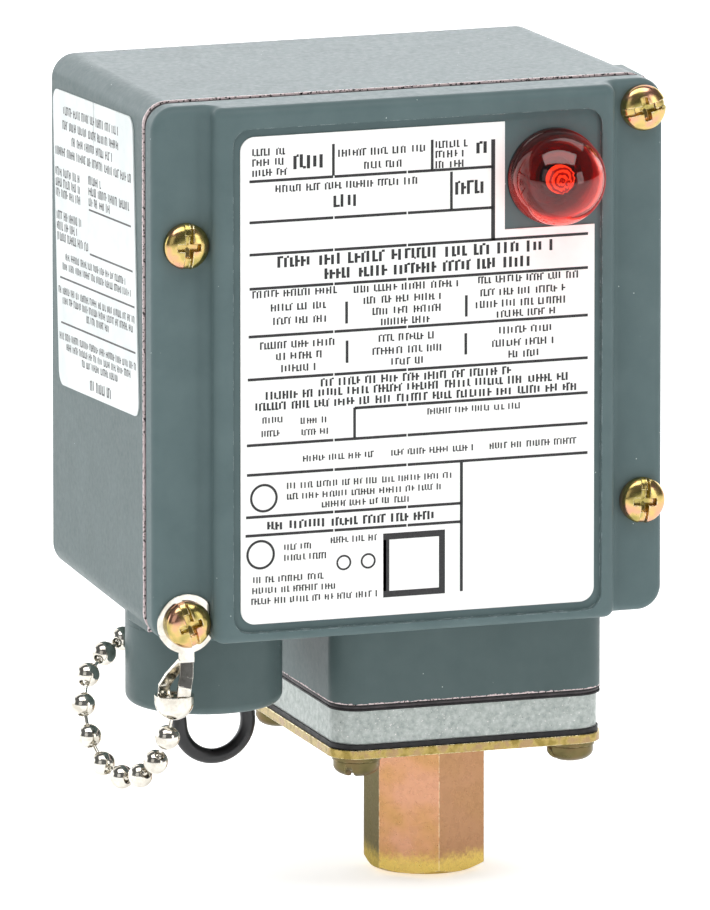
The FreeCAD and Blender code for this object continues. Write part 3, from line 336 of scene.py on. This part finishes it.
def lens_painted_glow(look):
    """Painted glow along the lower right of the lens wall, standing in for light gathered there, far from a
    spot up and left of its middle.
    """
    low, high = box_mm("pilot_lens")
    left, up = 0.8, 1.3
    far = off_axis(look, (low.x + high.x) / 2 - left, (low.z + high.z) / 2 + up)
    return look.calc("MULTIPLY", look.step(far, 8.6, 9.3), look.spread(look.noise(2.4, 3), 0.12, 0.24))


def painted_glow_rings(name, x, z):
    """Pale rings of a lamp end, painted glowing as a reflected highlight, which its red lens turns orange,
    about an axis along Y.
    """
    radians_per_mm = 6.0
    look = Look(name)
    far = look.calc("ADD", off_axis(look, x, z), look.noise(1.5, 2))
    wave = look.calc("SINE", look.calc("MULTIPLY", far, radians_per_mm))
    tone = look.ramp(look.calc("ADD", look.calc("MULTIPLY", wave, 0.5), 0.5), (0.15, rgb(130, 60, 30)),
                     (0.85, rgb(255, 226, 150)))
    # Painted glow: the rings' colour is also emitted, standing in for the lamp end's reflected highlight.
    return look.finish(Base_Color=tone, Roughness=0.3, Emission_Color=tone, Emission_Strength=0.7,
                       Normal=look.bump(wave, 0.05))


GREY_ZINC = (rgb(206, 206, 202), rgb(150, 152, 152))
LOOKS = {
    "box_paint": paint("box_enamel", rgb(84, 99, 99), rgb(91, 106, 106), bare_rim),
    "cover_paint": paint("cover_enamel", rgb(87, 104, 105), rgb(94, 111, 112)),
    "black_rubber": moulded("rubber_sheet", rgb(7, 6, 7), rgb(24, 21, 23), 0.5, 0.7, 0.03),
    "label_film": film("front_film", rgb(250, 250, 248), rgb(240, 240, 236)),
    "yellow_zinc": chromate("yellow_chromate", rgb(166, 152, 88), rgb(206, 178, 112), rgb(214, 160, 132),
                            rgb(250, 242, 220), 4.5, (0.14, 0.24)),
    "olive_zinc": chromate("olive_chromate", rgb(86, 80, 52), rgb(106, 97, 64), rgb(116, 98, 68),
                           rgb(170, 158, 116)),
    "bare_casting": casting("raw_casting"),
    "red_lens": see_through("red_polycarbonate", [0.93, 0.085, 0.055, 1.0], 0.01, lens_painted_glow),
    "bright_zinc": plated("clear_zinc", *GREY_ZINC, 0.25, 0.42),
    "black_moulding": moulded("black_polyethylene", rgb(12, 12, 13), rgb(34, 34, 36), 0.26, 0.4),
    "lamp_glass": see_through("lamp_bulb", [0.95, 0.9, 0.85, 1.0], 0.02),
    "lead_insulation": moulded("wire_insulation", rgb(20, 20, 22), rgb(46, 46, 48), 0.4, 0.55),
    "nickel": plated("nickel_plate", rgb(226, 222, 212), rgb(196, 190, 178), 0.07, 0.16, (1, 1, 1), 0.2),
    "spring_bronze": plated("bronze_strip", rgb(196, 148, 92), rgb(150, 108, 62), 0.25, 0.4),
    "machined_steel": plated("turned_steel", rgb(178, 180, 182), rgb(132, 134, 136), 0.22, 0.38),
    "brass": plated("machined_brass", rgb(214, 184, 108), rgb(176, 146, 78), 0.2, 0.35),
    "spring_steel": plated("oiled_wire", rgb(104, 104, 106), rgb(64, 62, 62), 0.25, 0.4),
    "phenolic": moulded("phenolic_moulding", rgb(42, 28, 24), rgb(66, 48, 42), 0.35, 0.5),
    "silver_contact": plated("silver_face", rgb(232, 230, 226), rgb(200, 198, 194), 0.15, 0.28),
    "green_zinc": plated("green_dyed_zinc", rgb(96, 150, 104), rgb(60, 108, 70), 0.25, 0.4),
    "ink": ink("label_ink"),
}
OWN_LOOKS = {
    # Painted shade: the side label's film is greyer than the front label's, for the dimmer light on that
    # side.
    "side_label": film("side_film_painted_shade", rgb(226, 231, 230), rgb(208, 215, 214), side_crease_and_shade),
    # Painted shade on the hex: its left-facing faces are painted dark olive and its front-right faces darker
    # tan.
    "hex_fitting": chromate("hex_chromate_painted_shade", rgb(182, 138, 90), rgb(190, 141, 102), rgb(196, 145, 115),
                            rgb(252, 240, 206), 9, (0.2, 0.32), 1.0,
                            (((-0.99, 0.12, 0), rgb(102, 104, 84)), ((0.39, -0.92, 0), rgb(158, 120, 88))),
                            (0.45, 0.44, 0.38, 1)),
    "flange_plate": chromate("plate_chromate", rgb(138, 120, 64), rgb(168, 148, 88), rgb(158, 132, 96),
                             rgb(252, 244, 204), 2.6, (0.2, 0.34)),
    "diaphragm": moulded("coated_fabric", rgb(30, 27, 29), rgb(84, 74, 77), 0.35, 0.55, 0.02),
}
SLOTS = {item["node"]: item["material_slot"] for item in frame["record"]["subparts"]}
for node_name, node_object in NODES.items():
    node_object.data.materials.clear()
    node_object.data.materials.append(OWN_LOOKS.get(node_name) or LOOKS[SLOTS[node_name]])


# ---- mesh helpers -------------------------------------------------------------------------------

def piece(name, mesh, slot, body="housing", stands_for=(), angle=35, look=None):
    """Object from a bmesh drawn in millimetres, riding on a body unless given none."""
    bmesh.ops.remove_doubles(mesh, verts=mesh.verts, dist=1e-4)
    bmesh.ops.recalc_face_normals(mesh, faces=mesh.faces)
    bmesh.ops.scale(mesh, vec=(MM, MM, MM), verts=mesh.verts)
    data = bpy.data.meshes.new(name)
    mesh.to_mesh(data)
    mesh.free()
    data.polygons.foreach_set("use_smooth", [True] * len(data.polygons))
    data.set_sharp_from_angle(angle=math.radians(angle))
    data.materials.append(look or LOOKS[slot])
    made = bpy.data.objects.new(name, data)
    SCENE.collection.objects.link(made)
    if body:
        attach(made, body)
    if stands_for:
        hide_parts(*stands_for)
    return made


def revolve(mesh, profile, count, place=Matrix()):
    """Surface turned about local Z from (radius, height) points."""
    rings = []
    for radius, height in profile:
        around = [0] if radius < 1e-6 else range(count)
        rings.append([mesh.verts.new(place @ Vector((radius * math.cos(2 * math.pi * i / count),
                                                     radius * math.sin(2 * math.pi * i / count),
                                                     height))) for i in around])
    for low, high in zip(rings, rings[1:]):
        for i in range(count):
            j = (i + 1) % count
            if len(low) > 1 and len(high) > 1:
                mesh.faces.new((low[i], low[j], high[j], high[i]))
            elif len(high) > 1:
                mesh.faces.new((low[0], high[j], high[i]))
            elif len(low) > 1:
                mesh.faces.new((low[i], low[j], high[0]))


def softened(points, radius, steps=4):
    """Profile with its inner corners rounded."""
    made = [points[0]]
    for before, corner, after in zip(points, points[1:], points[2:]):
        here = Vector(corner)
        ways = [Vector(before) - here, Vector(after) - here]
        reach = min([radius] + [way.length * 0.45 for way in ways])
        first, last = [here + way.normalized() * reach for way in ways]
        for k in range(steps + 1):
            t = k / steps
            point = first * (1 - t) ** 2 + here * (2 * t * (1 - t)) + last * t ** 2
            made.append((point.x, point.y))
    return made + [points[-1]]


def islands(name):
    """(lowest, highest) corners of a CAD node's separate solids, in millimetres."""
    data = NODES[name].data
    keys = [tuple(round(c / MM, 3) for c in vertex.co) for vertex in data.vertices]
    parent = {key: key for key in keys}

    def root(key):
        while parent[key] != key:
            parent[key] = parent[parent[key]]
            key = parent[key]
        return key

    for polygon in data.polygons:
        first = root(keys[polygon.vertices[0]])
        for index in polygon.vertices[1:]:
            parent[root(keys[index])] = first
    groups = {}
    for key in parent:
        groups.setdefault(root(key), []).append(key)
    return [(Vector([min(c) for c in zip(*group)]), Vector([max(c) for c in zip(*group)]))
            for group in groups.values()]


def smooth(value, low, high):
    """0 below low, 1 above high, smooth between."""
    t = min(max((value - low) / (high - low), 0.0), 1.0)
    return t * t * (3 - 2 * t)


# ---- screws -------------------------------------------------------------------------------------

def screw_head(mesh, place, radius, rise, slot, cross):
    """Pan head with a slot and a cross recess, its face as heights over a polar grid."""
    rings = 44
    count = 144
    rim_rise = 0.4
    arm_half = 0.55
    cross_depth = 2.1
    grid = []
    for k in range(rings + 1):
        r = radius * math.sin(math.pi / 2 * k / rings)
        ring = []
        for i in range(count if k else 1):
            x = r * math.cos(2 * math.pi * i / count)
            y = r * math.sin(2 * math.pi * i / count)
            height = rise * (rim_rise + (1 - rim_rise) * (1 - min(r / radius, 1) ** 3) ** 0.6)
            open_slot = 1 - smooth(abs(y), slot / 2 - 0.08, slot / 2 + 0.1)
            arms = [(1 - smooth(abs(b), arm_half, arm_half + 0.23))
                    * (1 - smooth(abs(a), cross - 0.3, cross + 0.1))
                    for a, b in ((x, y), (y, x))]
            well = cross_depth * (1 - 0.3 * max(abs(x), abs(y)) / cross) * max(arms)
            ring.append(mesh.verts.new(place @ Vector((x, y, height - max(open_slot, well)))))
        grid.append(ring)
    for level, shrink in ((0.12, 0.0), (0.0, 0.12)):
        ring = []
        for i in range(count):
            angle = 2 * math.pi * i / count
            ring.append(mesh.verts.new(place @ Vector(((radius - shrink) * math.cos(angle),
                                                       (radius - shrink) * math.sin(angle), level))))
        grid.append(ring)
    for low, high in zip(grid, grid[1:]):
        for i in range(count):
            j = (i + 1) % count
            if len(low) == 1:
                mesh.faces.new((low[0], high[i], high[j]))
            else:
                mesh.faces.new((low[i], low[j], high[j], high[i]))


def thread(mesh, place, radius, start, length, pitch=0.8, depth=0.28):
    """Ridged shank running down local Z from a start height."""
    profile = [(radius, start)]
    for k in range(1, int(length / pitch * 2)):
        profile.append((radius - (depth if k % 2 else 0), start - 0.6 - k * pitch / 2))
    last = profile[-1][1]
    revolve(mesh, profile + [(radius - 0.7, last - 0.5), (0, last - 0.5)], 28, place)


SCREW_SLOT = 1.5
SCREW_CROSS = 2.4


def screws(name, slot, turn, lengthwise, sizes, spins):
    """All screws of a CAD node as one piece, each turned by its own angle.

    sizes are the head's radius and height and the shank's radius. lengthwise is the axis they run along.
    """
    radius, rise, shank = sizes
    mesh = bmesh.new()
    in_order = sorted(islands(name), key=lambda box: (round(box[0].x), box[0].z, box[0].y))
    for (low, high), spin in zip(in_order, spins):
        seat = (low + high) / 2
        seat[lengthwise] = low[lengthwise] + rise
        place = Matrix.Translation(seat) @ turn @ Matrix.Rotation(math.radians(spin), 4, "Z")
        screw_head(mesh, place, radius, rise, SCREW_SLOT, SCREW_CROSS)
        thread(mesh, place, shank, 0, (high - low)[lengthwise] - rise)
    return piece(name + "_detail", mesh, slot, stands_for=[name])


screws("cover_screws", "yellow_zinc", Matrix.Rotation(math.pi / 2, 4, "X"), 1, (4.7, 3.1, 2.3),
       (108, 88, 86, 12))
screws("flange_screws", "olive_zinc", Matrix.Rotation(math.pi, 4, "X"), 2, (4.75, 3.4, 2.3),
       (-51, 11, -11, 51))


# ---- bead chain ---------------------------------------------------------------------------------

BEAD_RADIUS = 2.53
BEAD_WALL = 0.2
BEAD_HOLE = 1.25


def arc(radius, first, last, steps):
    """Profile points of a ball, by the angle from its lowest point in degrees."""
    angles = [math.radians(first + (last - first) * k / steps) for k in range(steps + 1)]
    return [(radius * math.sin(a), -radius * math.cos(a)) for a in angles]


def bead_chain():
    """Hollow beads with rolled-in lips at both holes, each facing its neighbours."""
    tab_low, tab_high = islands("chain_tab")[0]
    start = (tab_low + tab_high) / 2
    start.z = tab_low.z
    left = [(low + high) / 2 for low, high in islands("chain_beads")]
    chain = [start]
    while left:
        nearest = min(left, key=lambda spot: (spot - chain[-1]).length)
        left.remove(nearest)
        chain.append(nearest)
    chain.append(chain[-1] * 2 - chain[-2])
    first = math.degrees(math.asin(BEAD_HOLE / BEAD_RADIUS))
    outside = arc(BEAD_RADIUS, first, 180 - first, 26)
    lip = [(1.08, 2.2), (1.02, 2.05), (1.1, 1.96), (1.4, 1.88)]
    inside = arc(BEAD_RADIUS - BEAD_WALL, 135, 45, 6)
    profile = outside + lip + inside + [(r, -h) for r, h in lip[::-1]] + outside[:1]
    mesh = bmesh.new()
    for before, here, after in zip(chain, chain[1:], chain[2:]):
        turn = (after - before).to_track_quat("Z", "Y").to_matrix().to_4x4()
        revolve(mesh, profile, 44, Matrix.Translation(here) @ turn)
    return piece("bead_chain_detail", mesh, "nickel", "chain", ["chain_beads"], 60)


bead_chain()


# ---- range spring -------------------------------------------------------------------------------

def range_spring():
    """The CAD spring's mesh as a piece of its own, its transform baked in, riding on no body."""
    mesh = bmesh.new()
    mesh.from_mesh(NODES["range_spring"].data)
    bmesh.ops.scale(mesh, vec=(1 / MM, 1 / MM, 1 / MM), verts=mesh.verts)
    coils = piece("range_spring_coils", mesh, "spring_steel", None, ["range_spring"])
    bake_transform(coils)


range_spring()


# ---- pilot light --------------------------------------------------------------------------------

LENS_WALL = 1.6
LENS_DRAFT = 0.35
BARREL_RADIUS = 6.0
BARREL_BORE = 4.2
BARREL_END = -9.4


def pilot_light():
    """Red dome with a base rim, moulded rings inside its crown, a barrel, and the lamp's end with painted
    glowing rings.
    """
    low, high = box_mm("pilot_lens")
    ring = box_mm("lens_gasket")[0].y
    seat = Vector(((low.x + high.x) / 2, ring, (low.z + high.z) / 2))
    radius = (high.x - low.x) / 2
    tip = seat.y - low.y
    place = Matrix.Translation(seat) @ Matrix.Rotation(math.pi / 2, 4, "X")
    stand = tip - radius
    dome = [((radius - LENS_DRAFT) * math.cos(a), stand + radius * math.sin(a))
            for a in [math.pi / 2 * k / 28 for k in range(29)]]
    dome[-1] = (0, tip)
    hollow = []
    for k in range(49):
        a = math.pi / 2 * (1 - k / 48)
        r = (radius - LENS_WALL) * math.cos(a)
        ripple = 0.05 * math.cos(2 * math.pi * r / 0.9) * (1 - smooth(r, 2.4, 3.0))
        hollow.append((max(r, 0), stand + (radius - 1.35) * math.sin(a) - 0.05 + ripple))
    hollow[0] = (0, hollow[0][1])
    base = softened([(BARREL_RADIUS, BARREL_END), (BARREL_RADIUS, 0), (radius, 0), (radius, 1.1),
                     (radius - LENS_DRAFT, 1.5), (radius - LENS_DRAFT, stand)], 0.3)
    well = softened([hollow[-1], (radius - LENS_WALL, 1.0), (BARREL_BORE, 1.0), (BARREL_BORE, BARREL_END),
                     (BARREL_RADIUS, BARREL_END)], 0.3)
    mesh = bmesh.new()
    revolve(mesh, base + dome + hollow + well, 96, place)
    piece("pilot_lens_detail", mesh, "red_lens", stands_for=["pilot_lens"], angle=50)
    lamp = box_mm("neon_lamp")[0].y
    at = Matrix.Translation(Vector((seat.x, lamp, seat.z))) @ Matrix.Rotation(math.pi / 2, 4, "X")
    mesh = bmesh.new()
    crown = [(2.9, -1.6), (2.9, -0.5)] + [(2.7 - 0.38 * k, -0.4 + 0.09 * k + (0.16 if k % 2 else 0))
                                          for k in range(7)] + [(0, 0.25)]
    revolve(mesh, softened(crown, 0.1, 2), 64, at)
    piece("lamp_end_rings", mesh, "lamp_glass", look=painted_glow_rings("lamp_end_painted_glow", seat.x, seat.z))


pilot_light()


# ---- port thread --------------------------------------------------------------------------------

def port_thread():
    """Ridges of the tapped pipe thread inside the port, clear of the bore's wall."""
    bore, root, crest = 5.52, 5.5, 5.02
    start, half_pitch = 1.3, 0.7
    profile = [(bore, start - 0.4)]
    for k in range(18):
        profile.append((crest if k % 2 else root, start + half_pitch * k))
    profile.append((bore, profile[-1][1] + 0.5))
    mesh = bmesh.new()
    revolve(mesh, profile, 72)
    piece("port_thread_ridges", mesh, "yellow_zinc", angle=20)


port_thread()


# ---- printing -----------------------------------------------------------------------------------

class Sheet:
    """Print laid on a label: u runs right and v down from the label's top left corner."""

    breaks = (19.8, 35.4)

    def __init__(self, corner, right, down, seed):
        self.mesh = bmesh.new()
        self.corner = corner
        self.right = right
        self.down = down
        self.random = random.Random(seed)

    def spot(self, u, v):
        return self.mesh.verts.new(self.corner + self.right * u + self.down * v)

    def bar(self, u0, v0, u1, v1):
        self.mesh.faces.new([self.spot(u, v) for u, v in ((u0, v0), (u0, v1), (u1, v1), (u1, v0))])

    def across(self, u0, u1, v, thick=0.58):
        """Ruled line with the small breaks that the print head leaves."""
        breaks = [b for b in self.breaks if u0 + 2 < b < u1 - 2]
        for a, b in zip([u0] + [x + 0.12 for x in breaks], [x - 0.12 for x in breaks] + [u1]):
            self.bar(a, v - thick / 2, b, v + thick / 2)

    def upright(self, u, v0, v1, thick=0.58):
        self.bar(u - thick / 2, v0, u + thick / 2, v1)

    def frame(self, u0, v0, u1, v1, thick):
        """Plain square outline."""
        self.bar(u0, v0, u1, v0 + thick)
        self.bar(u0, v1 - thick, u1, v1)
        self.bar(u0, v0 + thick, u0 + thick, v1 - thick)
        self.bar(u1 - thick, v0 + thick, u1, v1 - thick)

    def ring(self, u, v, radius, thick):
        count = 40
        angles = [2 * math.pi * i / count for i in range(count)]
        rims = [[self.spot(u + r * math.cos(a), v + r * math.sin(a)) for a in angles]
                for r in (radius, radius - thick)]
        for i in range(count):
            j = (i + 1) % count
            self.mesh.faces.new((rims[0][i], rims[0][j], rims[1][j], rims[1][i]))

    def words(self, u0, u1, v, height=1.5, weight=0.36):
        """Row of plain upright ticks in word-like groups, standing for a line of print."""
        u = u0
        left = self.random.randint(3, 8)
        while u < u1 - weight:
            if left == 0:
                left = self.random.randint(3, 8)
                u += height * 0.55
                continue
            top = height * self.random.choice((0.5, 0.5, 0.42, 0.36))
            low = height * self.random.choice((0.5, 0.5, 0.5, 0.4))
            self.bar(u, v - top, u + weight, v + low)
            gap = height * self.random.choice((0.26, 0.32, 0.4)) + weight * 0.35
            if self.random.random() < 0.6 and u + gap + weight < u1:
                level = v + height * self.random.choice((-0.42, 0.0, 0.4))
                self.bar(u + weight, level - weight / 2.6, u + gap + weight * 0.2, level + weight / 2.6)
            u += gap + weight * 0.45
            left -= 1

    def done(self, name):
        piece(name, self.mesh, "label_film", look=LOOKS["ink"])


def front_print():
    """Ruled boxes, rows of ticks and plain marks of the front label."""
    low, high = box_mm("front_label")
    sheet = Sheet(Vector((low.x, low.y - 0.02, high.z)), Vector((1, 0, 0)), Vector((0, 0, -1)), 7)
    for u0, u1, v in ((1.9, 53.7, 9.1), (1.9, 53.7, 17.5), (1.9, 74, 24.1), (1.9, 74, 31.1), (1.7, 74, 40.9),
                      (1.5, 74, 49.7), (24.2, 74, 56.9), (1.3, 74, 63.2), (1.3, 74, 69.3), (1.1, 46.9, 78),
                      (1, 46.9, 81.8)):
        sheet.across(u0, u1, v)
    for u, v0, v1 in ((19.7, 2.4, 8.9), (40.7, 2.8, 9.1), (44.8, 9.6, 17.4), (24.2, 56.8, 63),
                      (22.5, 34.9, 39.4), (48, 35.2, 39.6), (22.6, 42.9, 47.5), (47.9, 43, 47.4)):
        sheet.upright(u, v0, v1)
    sheet.upright(53.7, 3.5, 24.3, 0.85)
    sheet.upright(47, 69.5, 96.2, 0.65)
    for u0, u1, v in ((2.5, 10.6, 3.2), (2.5, 10.6, 5.3), (2.5, 10.6, 7.4), (20.7, 39.8, 4.4),
                      (26.2, 34.5, 7.2), (41.4, 48.6, 3.9), (41.4, 48, 5.9), (41.4, 48, 8.0),
                      (7.4, 37.9, 10.9), (2.5, 20.8, 32.3), (24, 46.5, 32.5), (50.5, 72, 32.3),
                      (6.4, 18.5, 35.2), (6.9, 18.2, 38.0), (26.1, 42.8, 34.9), (28, 43, 37.3),
                      (29.8, 40.8, 39.5), (51, 69.5, 34.9), (50, 70.2, 37.3), (54.5, 67.2, 39.5),
                      (4.1, 20.3, 42.9), (7.5, 17.3, 45.3), (8.6, 15.9, 47.8), (29.3, 41.7, 42.9),
                      (28, 43, 45.5), (32, 39, 47.9), (55, 66.5, 42.9), (53.5, 67, 45.5), (57, 63.5, 47.9)):
        sheet.words(u0, u1, v)
    for u0, u1, v in ((17, 58, 51.2), (5.3, 70, 53.2), (3.1, 72, 55.4)):
        sheet.words(u0, u1, v, 1.65, 0.44)
    for u0, u1, v, tall, weight in ((11.2, 18, 5.6, 3.0, 0.7), (50.1, 52.4, 5, 2.4, 0.7),
                                    (19.7, 25, 14.1, 2.6, 0.6), (45.6, 52.8, 13, 2.8, 0.65),
                                    (7.8, 67, 25.9, 2.3, 0.62), (17.8, 62, 28.9, 2.2, 0.62)):
        sheet.words(u0, u1, v, tall, weight)
    for u0, u1, v in ((4.6, 9.2, 58.2), (4.4, 9, 61), (12.7, 18.4, 58.8), (12.9, 18.6, 61.2),
                      (39.7, 60, 58.6), (13.2, 29, 66.6), (32, 50, 66.6), (53, 72, 66.6),
                      (9.8, 45.1, 72), (9.8, 43, 74.2), (17.2, 36.1, 76.3), (9.2, 15.3, 84.6),
                      (9.2, 18.3, 86.8), (19.1, 29.3, 83.8), (2.6, 18, 91), (2.4, 20.1, 93.2),
                      (2.2, 29.1, 95.4)):
        sheet.words(u0, u1, v, 1.3, 0.31)
    sheet.words(5.6, 41.7, 80, 1.75, 0.5)
    sheet.ring(4.9, 74.2, 2.95, 0.5)
    sheet.ring(4.2, 85.8, 3.05, 0.5)
    for u in (20.4, 25.6):
        sheet.ring(u + 1.5, 88.6, 1.6, 0.4)
    sheet.frame(30.3, 83.2, 43.5, 96.4, 1.3)
    sheet.done("front_label_print")


def side_print():
    """Rows of ticks and ruled lines of the side label, on its own lean."""
    box_taper, tilt = 1.4, 3.9
    half_width, half_height = 28.5, 30.5
    stand_off = 0.145
    lean = (Matrix.Rotation(math.radians(-box_taper), 3, "Z")
            @ Matrix.Rotation(math.radians(-tilt), 3, "X"))
    low, high = box_mm("side_label")
    corner = (low + high) / 2 + lean @ Vector((-stand_off, half_width, half_height))
    sheet = Sheet(corner, lean @ Vector((0, -1, 0)), lean @ Vector((0, 0, -1)), 11)
    for u0, u1, v in ((7.5, 47, 3.9), (6.7, 47, 6.9), (13, 42, 9.8), (1.2, 55.5, 12.6), (0.8, 19, 16.9),
                      (0.8, 18.6, 19.1), (0.8, 19, 21.3), (24.5, 34, 16.3), (24.5, 54, 18.5),
                      (24.5, 40, 20.7), (1, 19, 25.9), (1, 16, 28.1), (1.2, 24, 30.3)):
        sheet.words(u0, u1, v, 1.8, 0.44)
    for u0, u1, v in ((6.7, 50, 34.1), (4.5, 53.5, 36.2), (1.2, 56, 41.3), (4, 54.5, 43.3), (21, 37, 45.3),
                      (1.2, 56, 50.8), (6, 52, 52.8), (17, 43, 54.8)):
        sheet.words(u0, u1, v, 1.5, 0.37)
    sheet.words(22.5, 38, 58.6, 2.1, 0.55)
    for u0, u1, v in ((24.5, 54.5, 22.4), (24.5, 55, 31.5), (2.5, 55.8, 38.7), (2.5, 55.8, 48)):
        sheet.bar(u0, v - 0.2, u1, v + 0.2)
    sheet.done("side_label_print")


front_print()
side_print()


# ---- studio -------------------------------------------------------------------------------------

def floor():
    """Pale floor, far larger than the view and just under the object."""
    half_size, gap = 30, 0.0006
    mesh = bmesh.new()
    bmesh.ops.create_grid(mesh, x_segments=8, y_segments=8, size=half_size)
    bmesh.ops.translate(mesh, vec=(0, 0, -gap), verts=mesh.verts)
    data = bpy.data.meshes.new("studio_floor")
    mesh.to_mesh(data)
    mesh.free()
    look = Look("pale_floor")
    tone = look.ramp(look.noise(400, 2), (0.3, rgb(247, 247, 247)), (0.7, rgb(250, 250, 250)))
    data.materials.append(look.finish(Base_Color=tone, Roughness=0.9, Emission_Color=tone,
                                      Emission_Strength=0.55))
    made = bpy.data.objects.new("studio_floor", data)
    SCENE.collection.objects.link(made)


def softbox(name, spot, width, height, power, aim=(-0.017, -0.033, 0.11)):
    """Area light facing the object."""
    data = bpy.data.lights.new(name, "AREA")
    data.shape = "RECTANGLE"
    data.size = width
    data.size_y = height
    data.energy = power
    made = bpy.data.objects.new(name, data)
    made.location = spot
    made.rotation_euler = (Vector(aim) - Vector(spot)).to_track_quat("-Z", "Y").to_euler()
    SCENE.collection.objects.link(made)


def backdrop(tree):
    """Dim room with a bright pale wall low down behind the object."""
    def add(kind, **settings):
        made = tree.nodes.new(kind)
        for key, value in settings.items():
            setattr(made, key, value)
        return made

    way = add("ShaderNodeSeparateXYZ")
    tree.links.new(add("ShaderNodeTexCoord").outputs["Generated"], way.inputs[0])
    shares = []
    for axis, low, high in (("Y", 0.1, 0.55), ("Z", 0.5, 0.3)):
        share = add("ShaderNodeMapRange", interpolation_type="SMOOTHSTEP")
        share.inputs["From Min"].default_value = low
        share.inputs["From Max"].default_value = high
        tree.links.new(way.outputs[axis], share.inputs["Value"])
        shares.append(share.outputs[0])
    both = add("ShaderNodeMath", operation="MULTIPLY")
    mixed = add("ShaderNodeMix", data_type="RGBA")
    for share, socket in zip(shares, both.inputs):
        tree.links.new(share, socket)
    tree.links.new(both.outputs[0], mixed.inputs[0])
    room = (0.15, 0.155, 0.16, 1)
    wall = (2.8, 2.86, 2.93, 1)
    mixed.inputs[6].default_value = room
    mixed.inputs[7].default_value = wall
    tree.links.new(mixed.outputs[2], tree.nodes["Background"].inputs["Color"])


def add_camera():
    """Long lens, left of the cover and above it, with the cover's middle set off right and up in view."""
    leftward, height = math.radians(18.6), math.radians(11.6)
    distance, off_right, off_up = 4.085, 0.0085, 0.0205
    right = Vector((math.cos(leftward), -math.sin(leftward), 0.0))
    back = Vector((-math.sin(leftward) * math.cos(height), -math.cos(leftward) * math.cos(height),
                   math.sin(height)))
    up = back.cross(right)
    low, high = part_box("front_cover")
    middle = Vector(((low.x + high.x) / 2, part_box("enclosure_body")[0].y, (low.z + high.z) / 2))
    data = bpy.data.cameras.new("camera")
    data.sensor_width = 36
    data.lens = 798.3
    data.clip_end = 60
    camera = bpy.data.objects.new("camera", data)
    camera.location = middle + back * distance - right * off_right - up * off_up
    camera.rotation_euler = Matrix((right, up, back)).transposed().to_euler()
    SCENE.collection.objects.link(camera)
    SCENE.camera = camera


def studio():
    """World, lights and the camera at the viewing angle."""
    world = bpy.data.worlds.new("studio")
    SCENE.world = world
    world.use_nodes = True
    backdrop(world.node_tree)
    floor()
    softbox("overhead", (-0.27, -0.82, 2.2), 3.2, 1.4, 50)
    softbox("far_floor", (0.4, 2.6, 2.4), 5.0, 3.0, 70, (0.6, 3.0, 0.0))
    softbox("left_front", (-1.72, -1.52, 0.85), 1.2, 1.2, 3)
    softbox("right_front", (1.36, -1.95, 0.46), 0.7, 1.1, 6)
    add_camera()
    SCENE.view_settings.view_transform = "Standard"


studio()
